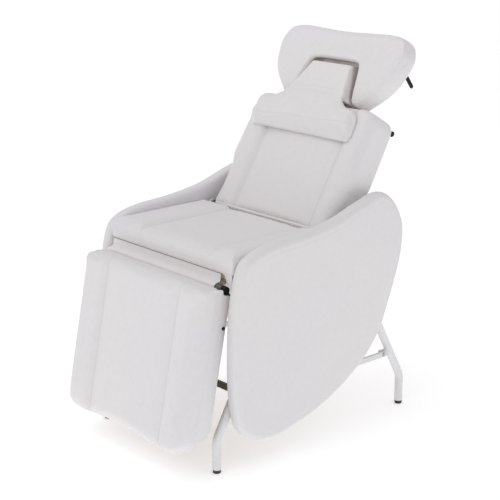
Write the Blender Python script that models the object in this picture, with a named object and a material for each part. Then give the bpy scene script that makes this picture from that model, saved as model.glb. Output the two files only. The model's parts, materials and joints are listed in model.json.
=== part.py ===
"""Pedicure spa chair: a reclining treatment chair on four bent tube legs, in metres, +Z up.

The chair faces -Y and its width runs along X. Z = 0 is the floor. Y = 0 in the sizes below is midway
between the front and rear feet; the last step moves the whole chair so that the origin lies under the
middle of its length. Each reclining group is built in its own frame, an empty on the group's hinge axis,
where local Z runs up along the upholstered face and local -Y points out of that face.
"""

from math import atan2, cos, pi, radians, sin, tan, tau

import bmesh
import bpy
from mathutils import Matrix, Vector

FIT_GAP = 0.0003  # air between pieces that touch
RUN_GAP = 0.0010  # air between plates that slide past each other
TURN_GAP = 0.0004  # air round a pin in its hole
CUT = 0.010  # how far a cutting helper reaches past what it cuts

CENTRE_SHIFT_Y = 0.0246  # puts the origin under the middle of the chair's length

# Legs and their braces
TUBE_D = 0.028
LEG_X = 0.277
FOOT_Y = 0.404
LEG_TOP_Y = 0.172
LEG_LEAN = radians(28.9)  # of the straight run between the two bends
LEG_BEND_Z = 0.105
LEG_BEND_R = 0.060
LEG_BEND_STEPS = 5
GLIDE_H = 0.012
GLIDE_R = 0.0125
TAB_T = 0.004
TAB_H = 0.026
TAB_LENGTH = 0.052
BRACE_Z = 0.201
BRACE_H = 0.020
BRACE_T = 0.010
BRACE_INSET = 0.026  # from the leg's centre line to the brace's end
BRACE_BOLT_INSET = 0.013
BRACE_BOLT_R = 0.0065
BRACE_BOLT_H = 0.004

# Rails and cross tubes under the seat
RAIL_W = 0.018
RAIL_H = 0.025
RAIL_X = 0.2835
RAIL_Z = 0.5775
RAIL_FRONT_Y = -0.335
RAIL_REAR_Y = 0.188
CROSS_FRONT_Y = -0.305
CROSS_REAR_Y = -0.050
LOWER_BAR_Z = 0.243
LOWER_BAR_SIZE = 0.017
EDGE_R = 0.002  # rounded edges of square tube
RAIL_INNER_X = RAIL_X - RAIL_W / 2
RAIL_BOTTOM_Z = RAIL_Z - RAIL_H / 2
RAIL_TOP_Z = RAIL_Z + RAIL_H / 2

# Side panels
PANEL_INNER_X = 0.294
PANEL_T = 0.048
PANEL_EDGE_R = 0.016
PANEL_BOARD_T = 0.012
PANEL_BOARD_DEPTH = 0.010  # padding between the panel's inner face and its board
PANEL_BOARD_INSET = 0.025
BOSS_R = 0.010
STUD_R = 0.004
STUD_LENGTH = 0.026
STUD_HOLE_R = 0.0045
PAD_HOLE_R = 0.007
STUD_Y = (-0.230, 0.085)
PANEL_OUTLINE = (
    (0.334, 0.625), (0.325, 0.678), (0.287, 0.738), (0.231, 0.770), (0.144, 0.752), (0.030, 0.716),
    (-0.100, 0.697), (-0.220, 0.689), (-0.305, 0.670), (-0.350, 0.630), (-0.376, 0.514), (-0.384, 0.360),
    (-0.376, 0.210), (-0.345, 0.124), (-0.260, 0.083), (-0.143, 0.094), (-0.005, 0.136), (0.130, 0.209),
    (0.226, 0.302), (0.288, 0.436), (0.325, 0.545),
)  # (Y, Z) of the panel's edge, from its rearmost point over the armrest to the front

# Seat
SEAT_HALF_W = 0.288
SEAT_FRONT_Y = -0.360
SEAT_REAR_Y = 0.029
SEAT_BOTTOM_Z = 0.606
SEAT_TOP_Z = 0.672
SEAT_EDGE_R = 0.022
SEAT_BOARD_INSET = 0.004
SEAT_BOARD_FRONT_INSET = 0.013
APRON_T = 0.002
APRON_X = (-0.262, 0.235)
APRON_Z = (0.5775, 0.6045)

# Backrest, in its own frame
BACK_PIVOT = (0.055, 0.651)  # (Y, Z) of the recline hinge
BACK_TILT = 31.0  # degrees back from vertical
RECLINE = 59.0  # degrees from the most upright stop to flat
BACK_FRONT = -0.021
BACK_REAR = 0.107
BACK_BOTTOM = 0.0005
BACK_TOP = 0.4205
BACK_HALF_WIDTHS = ((BACK_BOTTOM, 0.2620), (0.145, 0.2620), (0.190, 0.272), (BACK_TOP, 0.260))
# (Z, half width): slim where it drops between the rails when flat
BACK_TOP_CORNER_R = 0.048
BACK_BOTTOM_CORNER_R = 0.024
BACK_EDGE_R = 0.022
BACK_BOARD_T = 0.015
BACK_BOARD_INSET = 0.014
BACK_TUBE = 0.024
BACK_TUBE_X = 0.105
BACK_TUBE_BOTTOM = 0.0305
BACK_CROSS_Z = 0.061
BACK_CROSS_H = 0.020
POST_Y = BACK_REAR + FIT_GAP + BACK_TUBE / 2

# Recline linkage
ARM_T = 0.0055
ARM_W = 0.024
BACK_ARM_X = 0.2665
BACK_ARM = 0.135  # recline hinge to the link pin
BACK_ARM_ELBOW = (0.071, -0.005)  # keeps the arm behind the seat when the backrest is flat
BACK_WING_END = (0.0975, 0.042)
BACK_WING_W = 0.028
BACK_FLANGE_X = 0.215
BACK_FLANGE_Z = (0.016, 0.056)
BACK_FLANGE_T = 0.0045
BRACKET_W = 0.036
BRACKET_T = 0.006
PIVOT_R = 0.006
SHAFT_REACH = 0.85  # how far down the arms their shaft sits
SHAFT_R = 0.008
LINK_X = 0.2575
LINK_T = 0.004
LINK_W = 0.018
LINK_PIN_R = 0.004
STAY_SLEEVE_SIZE = (0.026, 0.018)
STAY_BAR_SIZE = (0.016, 0.009)
STAY_CLEARANCE = 0.0005
STAY_SLEEVE_Y = (-0.320, -0.036)
STAY_BAR_FRONT_Y = -0.150
STAY_END_GAP = 0.002
STAY_LUG_SIZE = (0.012, 0.016)

# Footrest, in its own frame
FOOT_PIVOT = (-0.3625, 0.565)  # (Y, Z) of the footrest hinge
FOOT_TILT = 11.5
FOOT_RAISE = 73.75  # degrees from the hanging stop to level
FOOT_HALF_W = 0.283
FOOT_FACE = -0.110
FOOT_PAD_BACK = -0.028
FOOT_BOARD_BACK = -0.0128
FOOT_BOARD_INSET = 0.017
FOOT_TOP = 0.004
FOOT_BOTTOM = -0.497
FOOT_TOP_CORNER_R = 0.034
FOOT_BOTTOM_CORNER_R = 0.060
FOOT_EDGE_R = 0.032
FOOT_TUBE_X = 0.267
FOOT_TUBE_W = 0.020
FOOT_TUBE_D = 0.025
FOOT_TUBE_Z = (-0.438, -0.0138)
FOOT_CHEEK_Y = (-0.069, 0.0115)
FOOT_CHEEK_OUTER_X = 0.2825
FOOT_CHEEK_Z = (-0.436, -0.030)
FOOT_CROSS_Z = (-0.420, -0.400)
FOOT_BOLT_Y = 0.003
FOOT_BOLT_Z = -0.112
FOOT_BOLT_R = 0.006
FOOT_BOLT_H = 0.0045
FOOT_ARM_X = 0.2505
AXLE_R = 0.010
AXLE_HALF_W = 0.2625
AXLE_CAP_R = 0.012
AXLE_CAP_END_X = 0.281
AXLE_EAR_X = 0.196
AXLE_EAR_T = 0.006
AXLE_EAR_W = 0.024
HINGE_SLEEVE_R = 0.0125
HINGE_SLEEVE_X = (0.236, 0.2617)
# Both link pins travel equally far, so the arms differ where their angles do.
FOOT_ARM = BACK_ARM * sin(radians(RECLINE / 2)) / sin(radians(FOOT_RAISE / 2))

# Headrest, its posts and its pillow, in the backrest's frame
POST_R = 0.008
POST_BOTTOM = 0.227
HEAD_PIVOT_Z = 0.606
CROSSBAR_R = 0.008
CROSSBAR_HALF_W = 0.194
HEAD_FRONT = 0.0
HEAD_REAR = 0.0695
HEAD_EDGE_R = 0.014
HEAD_BOARD_T = 0.010
HEAD_BOARD_INSET = 0.010
HEAD_PLATE_HALF_W = 0.075
HEAD_PLATE_Z = (0.600, 0.665)
HEAD_PLATE_T = 0.004
HEAD_SLEEVE_HALF_W = 0.045
HEAD_SLEEVE_R = 0.0125
HEAD_WEB_Z = (0.603, 0.617)
LEVER_RUN = (0.0587, -0.0235)
LEVER_W = 0.0128
LEVER_T = 0.007
KNOB_Z = 0.395
KNOB_X = (0.226, 0.256)
KNOB_R = 0.0095
KNOB_SCREW_R = 0.004
HEAD_OUTLINE = (
    (0.0000, 0.6786), (0.1067, 0.6818), (0.1973, 0.6850), (0.2475, 0.6690), (0.2730, 0.6274),
    (0.2720, 0.5848), (0.2592, 0.5368), (0.2347, 0.4941), (0.1984, 0.4557), (0.1685, 0.4333),
    (0.1472, 0.4365), (0.1355, 0.4621), (0.1195, 0.5368), (0.1109, 0.5688), (0.0981, 0.5826),
    (0.0000, 0.5848),
)  # (X, Z) of the right half, from the middle of the top edge round to the middle of the notch
PILLOW_OUTLINE = (
    (0.0800, 0.5602), (0.0880, 0.5540), (0.1190, 0.4660), (0.1310, 0.4300), (0.1600, 0.4088),
    (0.2091, 0.3960), (0.2261, 0.3746), (0.2283, 0.3234), (0.2219, 0.2957),
)  # (X, Z) of the right half, from the top of the stem down to the bottom corner
PILLOW_T = 0.012
PILLOW_BACK = BACK_FRONT - 0.0005
PILLOW_ROLL = ((0.0010, 0.2957), (0.0277, 0.3149), (0.0363, 0.3383), (0.0277, 0.3682), (0.0010, 0.3938))
# (reach out from the pillow's back, Z) of the neck roll's section
PILLOW_ROLL_HALF_W = 0.2187
PILLOW_PLUG = ((0.0860, 0.5540), (0.1165, 0.4660), (0.1270, BACK_TOP + 0.012))  # (X, Z) of its right half
PILLOW_PLUG_BACK = HEAD_REAR - 0.030
PILLOW_SLOPE = ((PILLOW_BACK - PILLOW_T, 0.4300), (-0.0065, 0.5702))
# (Y, Z) of the stem's face, which leans back until it is level with the headrest's


def clear_scene():
    for obj in list(bpy.data.objects):
        bpy.data.objects.remove(obj)


def material(name, color, roughness, metallic=0.0):
    made = bpy.data.materials.new(name)
    made.use_nodes = True
    shader = made.node_tree.nodes["Principled BSDF"]
    shader.inputs["Base Color"].default_value = (*color, 1.0)
    shader.inputs["Roughness"].default_value = roughness
    shader.inputs["Metallic"].default_value = metallic
    return made


def make_object(name, mesh, look, parent=None):
    obj = bpy.data.objects.new(name, mesh)
    bpy.context.scene.collection.objects.link(obj)
    if look is not None:
        mesh.materials.append(look)
    obj.parent = parent
    return obj


def mesh_from(bm, name, smooth_below=40.0):
    bmesh.ops.recalc_face_normals(bm, faces=bm.faces)
    mesh = bpy.data.meshes.new(name)
    bm.to_mesh(mesh)
    bm.free()
    mesh.shade_smooth()
    mesh.set_sharp_from_angle(angle=radians(smooth_below))
    return mesh


def box(name, low, high, look, parent=None, bevel=0.0, segments=2):
    """A box between two corners; the mesh holds the corners, so its scale stays 1."""
    bm = bmesh.new()
    bmesh.ops.create_cube(bm, size=1.0)
    for vert in bm.verts:
        vert.co = Vector(low[i] if vert.co[i] < 0 else high[i] for i in range(3))
    obj = make_object(name, mesh_from(bm, name), look, parent)
    if bevel:
        round_edges(obj, bevel, segments)
    return obj


def cylinder(name, start, end, radius, look, parent=None, sides=24, bevel=0.0):
    """A round bar from start to end."""
    start, end = Vector(start), Vector(end)
    axis = end - start
    bm = bmesh.new()
    turn = axis.to_track_quat("Z", "Y").to_matrix().to_4x4()
    place = Matrix.Translation((start + end) / 2) @ turn
    bmesh.ops.create_cone(
        bm, cap_ends=True, segments=sides, radius1=radius, radius2=radius, depth=axis.length, matrix=place
    )
    obj = make_object(name, mesh_from(bm, name), look, parent)
    if bevel:
        round_edges(obj, bevel, 1)
    return obj


def prism(name, outline, axis, low, high, look, parent=None, bevel=0.0, segments=2):
    """A plate: a closed outline, pushed out along X or Y between low and high.

    The outline's points are (Y, Z) for a plate across X and (X, Z) for a plate across Y.
    """
    bm = bmesh.new()
    rings = []
    for depth in (low, high):
        if axis == "X":
            ring = [bm.verts.new((depth, a, b)) for a, b in outline]
        else:
            ring = [bm.verts.new((a, depth, b)) for a, b in outline]
        rings.append(ring)
    bm.faces.new(rings[0])
    bm.faces.new(rings[1])
    for i in range(len(outline)):
        j = (i + 1) % len(outline)
        bm.faces.new((rings[0][i], rings[0][j], rings[1][j], rings[1][i]))
    obj = make_object(name, mesh_from(bm, name), look, parent)
    if bevel:
        round_edges(obj, bevel, segments)
    return obj


def side_plate(name, outline, side, inner_x, thickness, look, parent=None, bevel=0.0, segments=2):
    """A plate across X on the left (-1) or right (+1) side, from inner_x outwards."""
    low, high = sorted((side * inner_x, side * (inner_x + thickness)))
    return prism(name, outline, "X", low, high, look, parent, bevel, segments)


def side_bar(name, side, x_range, spot, radius, look, parent=None, sides=24, bevel=0.0):
    """A round bar along X on one side, at spot in (Y, Z)."""
    start, end = ((side * x, *spot) for x in x_range)
    return cylinder(name, start, end, radius, look, parent, sides, bevel)


def tube_path(name, points, radius, look, sides=16):
    """A round tube through points that lie in one plane across X."""
    bm = bmesh.new()
    rings = []
    for i, point in enumerate(points):
        before = Vector(points[max(i - 1, 0)])
        after = Vector(points[min(i + 1, len(points) - 1)])
        along = (after - before).normalized()
        side = Vector((1.0, 0.0, 0.0))
        up = along.cross(side)
        ring = []
        for k in range(sides):
            turn = tau * k / sides
            ring.append(bm.verts.new(Vector(point) + radius * (cos(turn) * side + sin(turn) * up)))
        rings.append(ring)
    for lower, upper in zip(rings, rings[1:]):
        for k in range(sides):
            j = (k + 1) % sides
            bm.faces.new((lower[k], lower[j], upper[j], upper[k]))
    bm.faces.new(rings[0])
    bm.faces.new(rings[-1])
    return make_object(name, mesh_from(bm, name), look)


def round_edges(obj, width, segments):
    rounding = obj.modifiers.new("rounding", "BEVEL")
    rounding.width = width
    rounding.segments = segments
    rounding.limit_method = "ANGLE"
    rounding.angle_limit = radians(40.0)


def combine(obj, tool, operation):
    """Joins a helper to a piece or cuts it away; the helper itself is left out of renders."""
    step = obj.modifiers.new(operation.lower(), "BOOLEAN")
    step.operation = operation
    step.solver = "EXACT"
    step.object = tool
    tool.hide_render = True
    tool.display_type = "WIRE"


def frame_empty(name, location, tilt=0.0, parent=None):
    empty = bpy.data.objects.new(name, None)
    bpy.context.scene.collection.objects.link(empty)
    empty.location = location
    empty.rotation_euler = (-radians(tilt), 0.0, 0.0)
    empty.parent = parent
    return empty


def smooth_closed(points, steps):
    """Points along a closed Catmull-Rom curve through the given ones."""
    count = len(points)
    out = []
    for i in range(count):
        p0, p1, p2, p3 = (Vector(points[(i + k - 1) % count]) for k in range(4))
        for s in range(steps):
            t = s / steps
            spot = 0.5 * (
                2 * p1 + (p2 - p0) * t + (2 * p0 - 5 * p1 + 4 * p2 - p3) * t * t
                + (3 * p1 - p0 - 3 * p2 + p3) * t * t * t
            )
            out.append((spot.x, spot.y))
    return out


def inset(points, distance):
    """The closed outline moved inwards; the points run either way round."""
    area = sum(a[0] * b[1] - b[0] * a[1] for a, b in zip(points, points[1:] + points[:1]))
    inward = 1.0 if area > 0 else -1.0
    out = []
    for i, point in enumerate(points):
        before, after = points[i - 1], points[(i + 1) % len(points)]
        along = (Vector(after) - Vector(before)).normalized()
        out.append((point[0] - inward * along.y * distance, point[1] + inward * along.x * distance))
    return out


def mirrored(half):
    """A full outline from its right half, which starts and may end on the middle line."""
    left = [(-x, z) for x, z in reversed(half) if x > 0.0]
    return list(half) + left


def round_rectangle(low, high, radii, steps=5):
    """Corners in the order right bottom, right top, left top, left bottom, each with its own radius."""
    x0, z0 = low
    x1, z1 = high
    corners = ((x1, z0, -90.0), (x1, z1, 0.0), (x0, z1, 90.0), (x0, z0, 180.0))
    out = []
    for (x, z, start), radius in zip(corners, radii):
        centre_x = x - radius if x == x1 else x + radius
        centre_z = z - radius if z == z1 else z + radius
        for s in range(steps + 1):
            turn = radians(start + 90.0 * s / steps)
            out.append((centre_x + radius * cos(turn), centre_z + radius * sin(turn)))
    return out


def strap(start, end, width, steps=6):
    """The outline of a flat bar with round ends, from one pin centre to another."""
    heading = atan2(end[1] - start[1], end[0] - start[0])
    out = []
    for centre, first in ((end, heading - pi / 2), (start, heading + pi / 2)):
        for s in range(steps + 1):
            turn = first + pi * s / steps
            out.append((centre[0] + width / 2 * cos(turn), centre[1] + width / 2 * sin(turn)))
    return out


def below(hinge, length, swing):
    """(Y, Z) of a pin length below a hinge, swung to the rear."""
    return hinge[0] + length * sin(radians(swing)), hinge[1] - length * cos(radians(swing))


def arm_end(length, swing, tilt):
    """The same pin as a place in the frame of a group that leans by tilt, with the hinge at 0."""
    y, z = below((0.0, 0.0), length, swing)
    lean = radians(tilt)
    return y * cos(lean) - z * sin(lean), y * sin(lean) + z * cos(lean)


def side_name(side):
    return "right" if side > 0 else "left"


def leg_points(end):
    """The centre line of one leg in (Y, Z), for the front (-1) or rear (+1) end."""
    tangent = LEG_BEND_R * tan(LEG_LEAN / 2)
    lower_z = LEG_BEND_Z - tangent
    upper_z = LEG_BEND_Z + (FOOT_Y - LEG_TOP_Y) / tan(LEG_LEAN) + tangent
    turns = [LEG_LEAN * s / LEG_BEND_STEPS for s in range(LEG_BEND_STEPS + 1)]
    out = [(FOOT_Y, GLIDE_H)]
    for turn in turns:
        out.append((FOOT_Y - LEG_BEND_R * (1 - cos(turn)), lower_z + LEG_BEND_R * sin(turn)))
    for turn in reversed(turns):
        out.append((LEG_TOP_Y + LEG_BEND_R * (1 - cos(turn)), upper_z - LEG_BEND_R * sin(turn)))
    out.append((LEG_TOP_Y, RAIL_BOTTOM_Z - FIT_GAP))
    return [(end * y, z) for y, z in out]


def leg_y_at(z):
    """How far from the middle a leg's straight run is at height z."""
    return FOOT_Y - tan(LEG_LEAN) * (z - LEG_BEND_Z)


def make_leg(side, end, looks):
    """One bent tube with the tab that its brace bolts to, and its glide."""
    name = f"leg_{'rear' if end > 0 else 'front'}_{side_name(side)}"
    x = side * LEG_X
    leg = tube_path(name, [(x, y, z) for y, z in leg_points(end)], TUBE_D / 2, looks["paint"])
    tab_y = leg_y_at(BRACE_Z)
    low_y, high_y = sorted((end * (tab_y - TAB_LENGTH), end * tab_y))
    tab = box(
        f"helper_tab_{name}",
        (x - TAB_T / 2, low_y, BRACE_Z - TAB_H / 2), (x + TAB_T / 2, high_y, BRACE_Z + TAB_H / 2), None,
    )
    combine(leg, tab, "UNION")
    foot_y = end * FOOT_Y
    cylinder(
        name.replace("leg", "glide"), (x, foot_y, 0.0), (x, foot_y, GLIDE_H - FIT_GAP), GLIDE_R,
        looks["rubber"], bevel=0.0015,
    )


def make_brace(side, looks):
    """The white bar between a front and a rear leg, with its two bolts."""
    end_y = leg_y_at(BRACE_Z) - BRACE_INSET
    inner = LEG_X + TAB_T / 2 + FIT_GAP
    low_x, high_x = sorted((side * inner, side * (inner + BRACE_T)))
    box(
        f"leg_brace_{side_name(side)}",
        (low_x, -end_y, BRACE_Z - BRACE_H / 2), (high_x, end_y, BRACE_Z + BRACE_H / 2),
        looks["paint"], bevel=0.003,
    )
    head_x = inner + BRACE_T + FIT_GAP
    for end in (-1, 1):
        side_bar(
            f"brace_bolt_{'rear' if end > 0 else 'front'}_{side_name(side)}", side,
            (head_x, head_x + BRACE_BOLT_H), (end * (end_y - BRACE_BOLT_INSET), BRACE_Z), BRACE_BOLT_R,
            looks["zinc"], sides=6,
        )


def make_rail(side, looks):
    """A seat rail with the studs that carry its side panel and the bracket of the recline hinge."""
    name = side_name(side)
    low_x, high_x = sorted((side * RAIL_INNER_X, side * (RAIL_INNER_X + RAIL_W)))
    rail = box(
        f"seat_rail_{name}", (low_x, RAIL_FRONT_Y, RAIL_BOTTOM_Z), (high_x, RAIL_REAR_Y, RAIL_TOP_Z),
        looks["paint"], bevel=EDGE_R,
    )
    for k, y in enumerate(STUD_Y):
        spot = (y, RAIL_Z)
        boss = side_bar(
            f"helper_boss_{name}_{k}", side, (RAIL_X, PANEL_INNER_X - FIT_GAP), spot, BOSS_R, None
        )
        combine(rail, boss, "UNION")
        stud = side_bar(
            f"helper_stud_{name}_{k}", side, (RAIL_X, PANEL_INNER_X + STUD_LENGTH), spot, STUD_R, None,
            sides=12,
        )
        combine(rail, stud, "UNION")
    bracket_x = BACK_ARM_X + ARM_T + RUN_GAP
    bracket = side_plate(
        f"helper_bracket_{name}", strap((BACK_PIVOT[0], RAIL_Z), BACK_PIVOT, BRACKET_W), side, bracket_x,
        BRACKET_T, None,
    )
    combine(rail, bracket, "UNION")
    pin = side_bar(
        f"helper_pin_{name}", side, (BACK_ARM_X, bracket_x + BRACKET_T / 2), BACK_PIVOT, PIVOT_R, None
    )
    combine(rail, pin, "UNION")


def make_cross_tubes(looks):
    """The tubes between the rails; the front one has two ears that hold the footrest's axle."""
    reach = RAIL_INNER_X - FIT_GAP
    tubes = []
    for name, y in (("seat_cross_front", CROSS_FRONT_Y), ("seat_cross_rear", CROSS_REAR_Y)):
        tubes.append(box(
            name, (-reach, y - RAIL_H / 2, RAIL_BOTTOM_Z), (reach, y + RAIL_H / 2, RAIL_TOP_Z),
            looks["paint"], bevel=EDGE_R,
        ))
    front = tubes[0]
    ear_outline = strap((CROSS_FRONT_Y, FOOT_PIVOT[1]), FOOT_PIVOT, AXLE_EAR_W)
    for side in (-1, 1):
        ear = side_plate(
            f"helper_axle_ear_{side_name(side)}", ear_outline, side, AXLE_EAR_X, AXLE_EAR_T, None
        )
        combine(front, ear, "UNION")
    bore = cylinder(
        "helper_axle_bore", (-reach, *FOOT_PIVOT), (reach, *FOOT_PIVOT), AXLE_R + TURN_GAP, None
    )
    combine(front, bore, "DIFFERENCE")


def make_base(looks):
    for side in (-1, 1):
        for end in (-1, 1):
            make_leg(side, end, looks)
        make_brace(side, looks)
        make_rail(side, looks)
        make_side_panel(side, looks)
        side_bar(
            f"axle_cap_{side_name(side)}", side, (AXLE_HALF_W + FIT_GAP, AXLE_CAP_END_X), FOOT_PIVOT,
            AXLE_CAP_R, looks["black"], bevel=0.002,
        )
    make_cross_tubes(looks)
    cylinder(
        "footrest_axle", (-AXLE_HALF_W, *FOOT_PIVOT), (AXLE_HALF_W, *FOOT_PIVOT), AXLE_R, looks["paint"]
    )
    bar_y = -leg_y_at(LOWER_BAR_Z)
    bar_end = LEG_X - TUBE_D / 2 - FIT_GAP
    half = LOWER_BAR_SIZE / 2
    box(
        "lower_front_bar",
        (-bar_end, bar_y - half, LOWER_BAR_Z - half), (bar_end, bar_y + half, LOWER_BAR_Z + half),
        looks["dark_steel"], bevel=EDGE_R,
    )


def make_side_panel(side, looks):
    """A board wrapped in padding; the board bolts to the studs of the seat rail."""
    name = side_name(side)
    outline = smooth_closed(PANEL_OUTLINE, 3)
    pad = side_plate(
        f"side_panel_pad_{name}", outline, side, PANEL_INNER_X, PANEL_T, looks["vinyl"],
        bevel=PANEL_EDGE_R, segments=3,
    )
    board_x = PANEL_INNER_X + PANEL_BOARD_DEPTH
    pocket = side_plate(
        f"helper_pocket_{name}", inset(outline, PANEL_BOARD_INSET), side, board_x - FIT_GAP,
        PANEL_BOARD_T + 2 * FIT_GAP, None,
    )
    combine(pad, pocket, "DIFFERENCE")
    board = side_plate(
        f"side_panel_board_{name}", inset(outline, PANEL_BOARD_INSET + FIT_GAP), side, board_x,
        PANEL_BOARD_T, looks["board"],
    )
    hole_end = PANEL_INNER_X + STUD_LENGTH + CUT
    for k, y in enumerate(STUD_Y):
        for piece, radius in ((pad, PAD_HOLE_R), (board, STUD_HOLE_R)):
            hole = side_bar(
                f"helper_hole_{k}_{piece.name}", side, (PANEL_INNER_X - CUT, hole_end), (y, RAIL_Z), radius,
                None, sides=12,
            )
            combine(piece, hole, "DIFFERENCE")


def make_seat(looks):
    board_front = SEAT_FRONT_Y + SEAT_BOARD_FRONT_INSET
    board_half_w = SEAT_HALF_W - SEAT_BOARD_INSET
    box(
        "seat_board",
        (-board_half_w, board_front, RAIL_TOP_Z + FIT_GAP),
        (board_half_w, SEAT_REAR_Y, SEAT_BOTTOM_Z - FIT_GAP),
        looks["board"], bevel=EDGE_R, segments=1,
    )
    box(
        "seat_cushion",
        (-SEAT_HALF_W, SEAT_FRONT_Y, SEAT_BOTTOM_Z), (SEAT_HALF_W, SEAT_REAR_Y, SEAT_TOP_Z),
        looks["vinyl"], bevel=SEAT_EDGE_R, segments=4,
    )
    apron_back = board_front - FIT_GAP
    box(
        "front_apron",
        (APRON_X[0], apron_back - APRON_T, APRON_Z[0]), (APRON_X[1], apron_back, APRON_Z[1]), looks["vinyl"],
    )


def make_stay(looks):
    """The ratchet stay under the seat: a sleeve hung from the cross tubes and the bar inside it."""
    shaft_y, bar_z = below(BACK_PIVOT, SHAFT_REACH * BACK_ARM, RECLINE / 2)
    sleeve_x, sleeve_z = (size / 2 for size in STAY_SLEEVE_SIZE)
    bar_x, half_z = (size / 2 for size in STAY_BAR_SIZE)
    sleeve = box(
        "stay_sleeve",
        (-sleeve_x, STAY_SLEEVE_Y[0], bar_z - sleeve_z), (sleeve_x, STAY_SLEEVE_Y[1], bar_z + sleeve_z),
        looks["dark_steel"], bevel=0.0015, segments=1,
    )
    lug_x, lug_y = (size / 2 for size in STAY_LUG_SIZE)
    for k, y in enumerate((CROSS_FRONT_Y, CROSS_REAR_Y)):
        lug = box(
            f"helper_stay_lug_{k}",
            (-lug_x, y - lug_y, bar_z + half_z), (lug_x, y + lug_y, RAIL_BOTTOM_Z - FIT_GAP), None,
        )
        combine(sleeve, lug, "UNION")
    bore_x, bore_z = bar_x + STAY_CLEARANCE, half_z + STAY_CLEARANCE
    bore = box(
        "helper_stay_bore",
        (-bore_x, STAY_SLEEVE_Y[0] - CUT, bar_z - bore_z), (bore_x, STAY_SLEEVE_Y[1] + CUT, bar_z + bore_z),
        None,
    )
    combine(sleeve, bore, "DIFFERENCE")
    bar_end = shaft_y - SHAFT_R - STAY_END_GAP
    box(
        "stay_bar", (-bar_x, STAY_BAR_FRONT_Y, bar_z - half_z), (bar_x, bar_end, bar_z + half_z),
        looks["zinc"],
    )


def pad_on_board(name, outline, y_range, sizes, frame, looks):
    """A cushion whose back is hollowed for its board; sizes are edge radius, board thickness and inset."""
    edge_r, board_t, board_inset = sizes
    front, rear = y_range
    board_front = rear - board_t
    cushion = prism(
        f"{name}_cushion", outline, "Y", front, rear, looks["vinyl"], frame, bevel=edge_r, segments=4
    )
    pocket = prism(
        f"helper_{name}_pocket", inset(outline, board_inset), "Y", board_front - FIT_GAP, rear + CUT, None,
        frame,
    )
    combine(cushion, pocket, "DIFFERENCE")
    prism(
        f"{name}_board", inset(outline, board_inset + FIT_GAP), "Y", board_front, rear, looks["board"], frame
    )


def back_half_width(z):
    """Half the backrest's width at height z, on straight lines between the given places."""
    for (z0, w0), (z1, w1) in zip(BACK_HALF_WIDTHS, BACK_HALF_WIDTHS[1:]):
        if z <= z1:
            return w0 + (w1 - w0) * (z - z0) / (z1 - z0)
    return BACK_HALF_WIDTHS[-1][1]


def back_outline():
    """The backrest's edge in (X, Z): a rounded rectangle whose width follows its height."""
    radii = (BACK_BOTTOM_CORNER_R, BACK_TOP_CORNER_R, BACK_TOP_CORNER_R, BACK_BOTTOM_CORNER_R)
    plain = round_rectangle((-1.0, BACK_BOTTOM), (1.0, BACK_TOP), radii)
    right = [(x - 1.0, z) for x, z in plain if x > 0.0]
    bends = [(0.0, z) for z, _ in BACK_HALF_WIDTHS[1:-1]]
    corner = len(right) // 2
    half = right[:corner] + bends + right[corner:]
    return mirrored([(back_half_width(z) + dx, z) for dx, z in half])


def make_backrest(frame, looks):
    """Cushion round its board, and the tubes behind it that take the headrest posts."""
    pad_on_board(
        "back", back_outline(), (BACK_FRONT, BACK_REAR), (BACK_EDGE_R, BACK_BOARD_T, BACK_BOARD_INSET), frame,
        looks,
    )
    half = BACK_TUBE / 2
    tube_top = BACK_TOP - 0.004
    for side in (-1, 1):
        x = side * BACK_TUBE_X
        tube = box(
            f"back_tube_{side_name(side)}",
            (x - half, POST_Y - half, BACK_TUBE_BOTTOM), (x + half, POST_Y + half, tube_top),
            looks["paint"], frame, bevel=EDGE_R, segments=1,
        )
        bore = cylinder(
            f"helper_post_bore_{side_name(side)}",
            (x, POST_Y, POST_BOTTOM - CUT), (x, POST_Y, tube_top + CUT), POST_R + TURN_GAP, None, frame,
        )
        combine(tube, bore, "DIFFERENCE")
        screw_hole = side_bar(
            f"helper_screw_hole_{side_name(side)}", side, (BACK_TUBE_X, BACK_TUBE_X + half + CUT),
            (POST_Y, KNOB_Z), KNOB_SCREW_R + TURN_GAP, None, frame, sides=16,
        )
        combine(tube, screw_hole, "DIFFERENCE")
    reach = BACK_TUBE_X - half - FIT_GAP
    box(
        "back_cross_tube",
        (-reach, POST_Y - half, BACK_CROSS_Z - BACK_CROSS_H / 2),
        (reach, POST_Y + half, BACK_CROSS_Z + BACK_CROSS_H / 2),
        looks["paint"], frame, bevel=EDGE_R, segments=1,
    )


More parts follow.
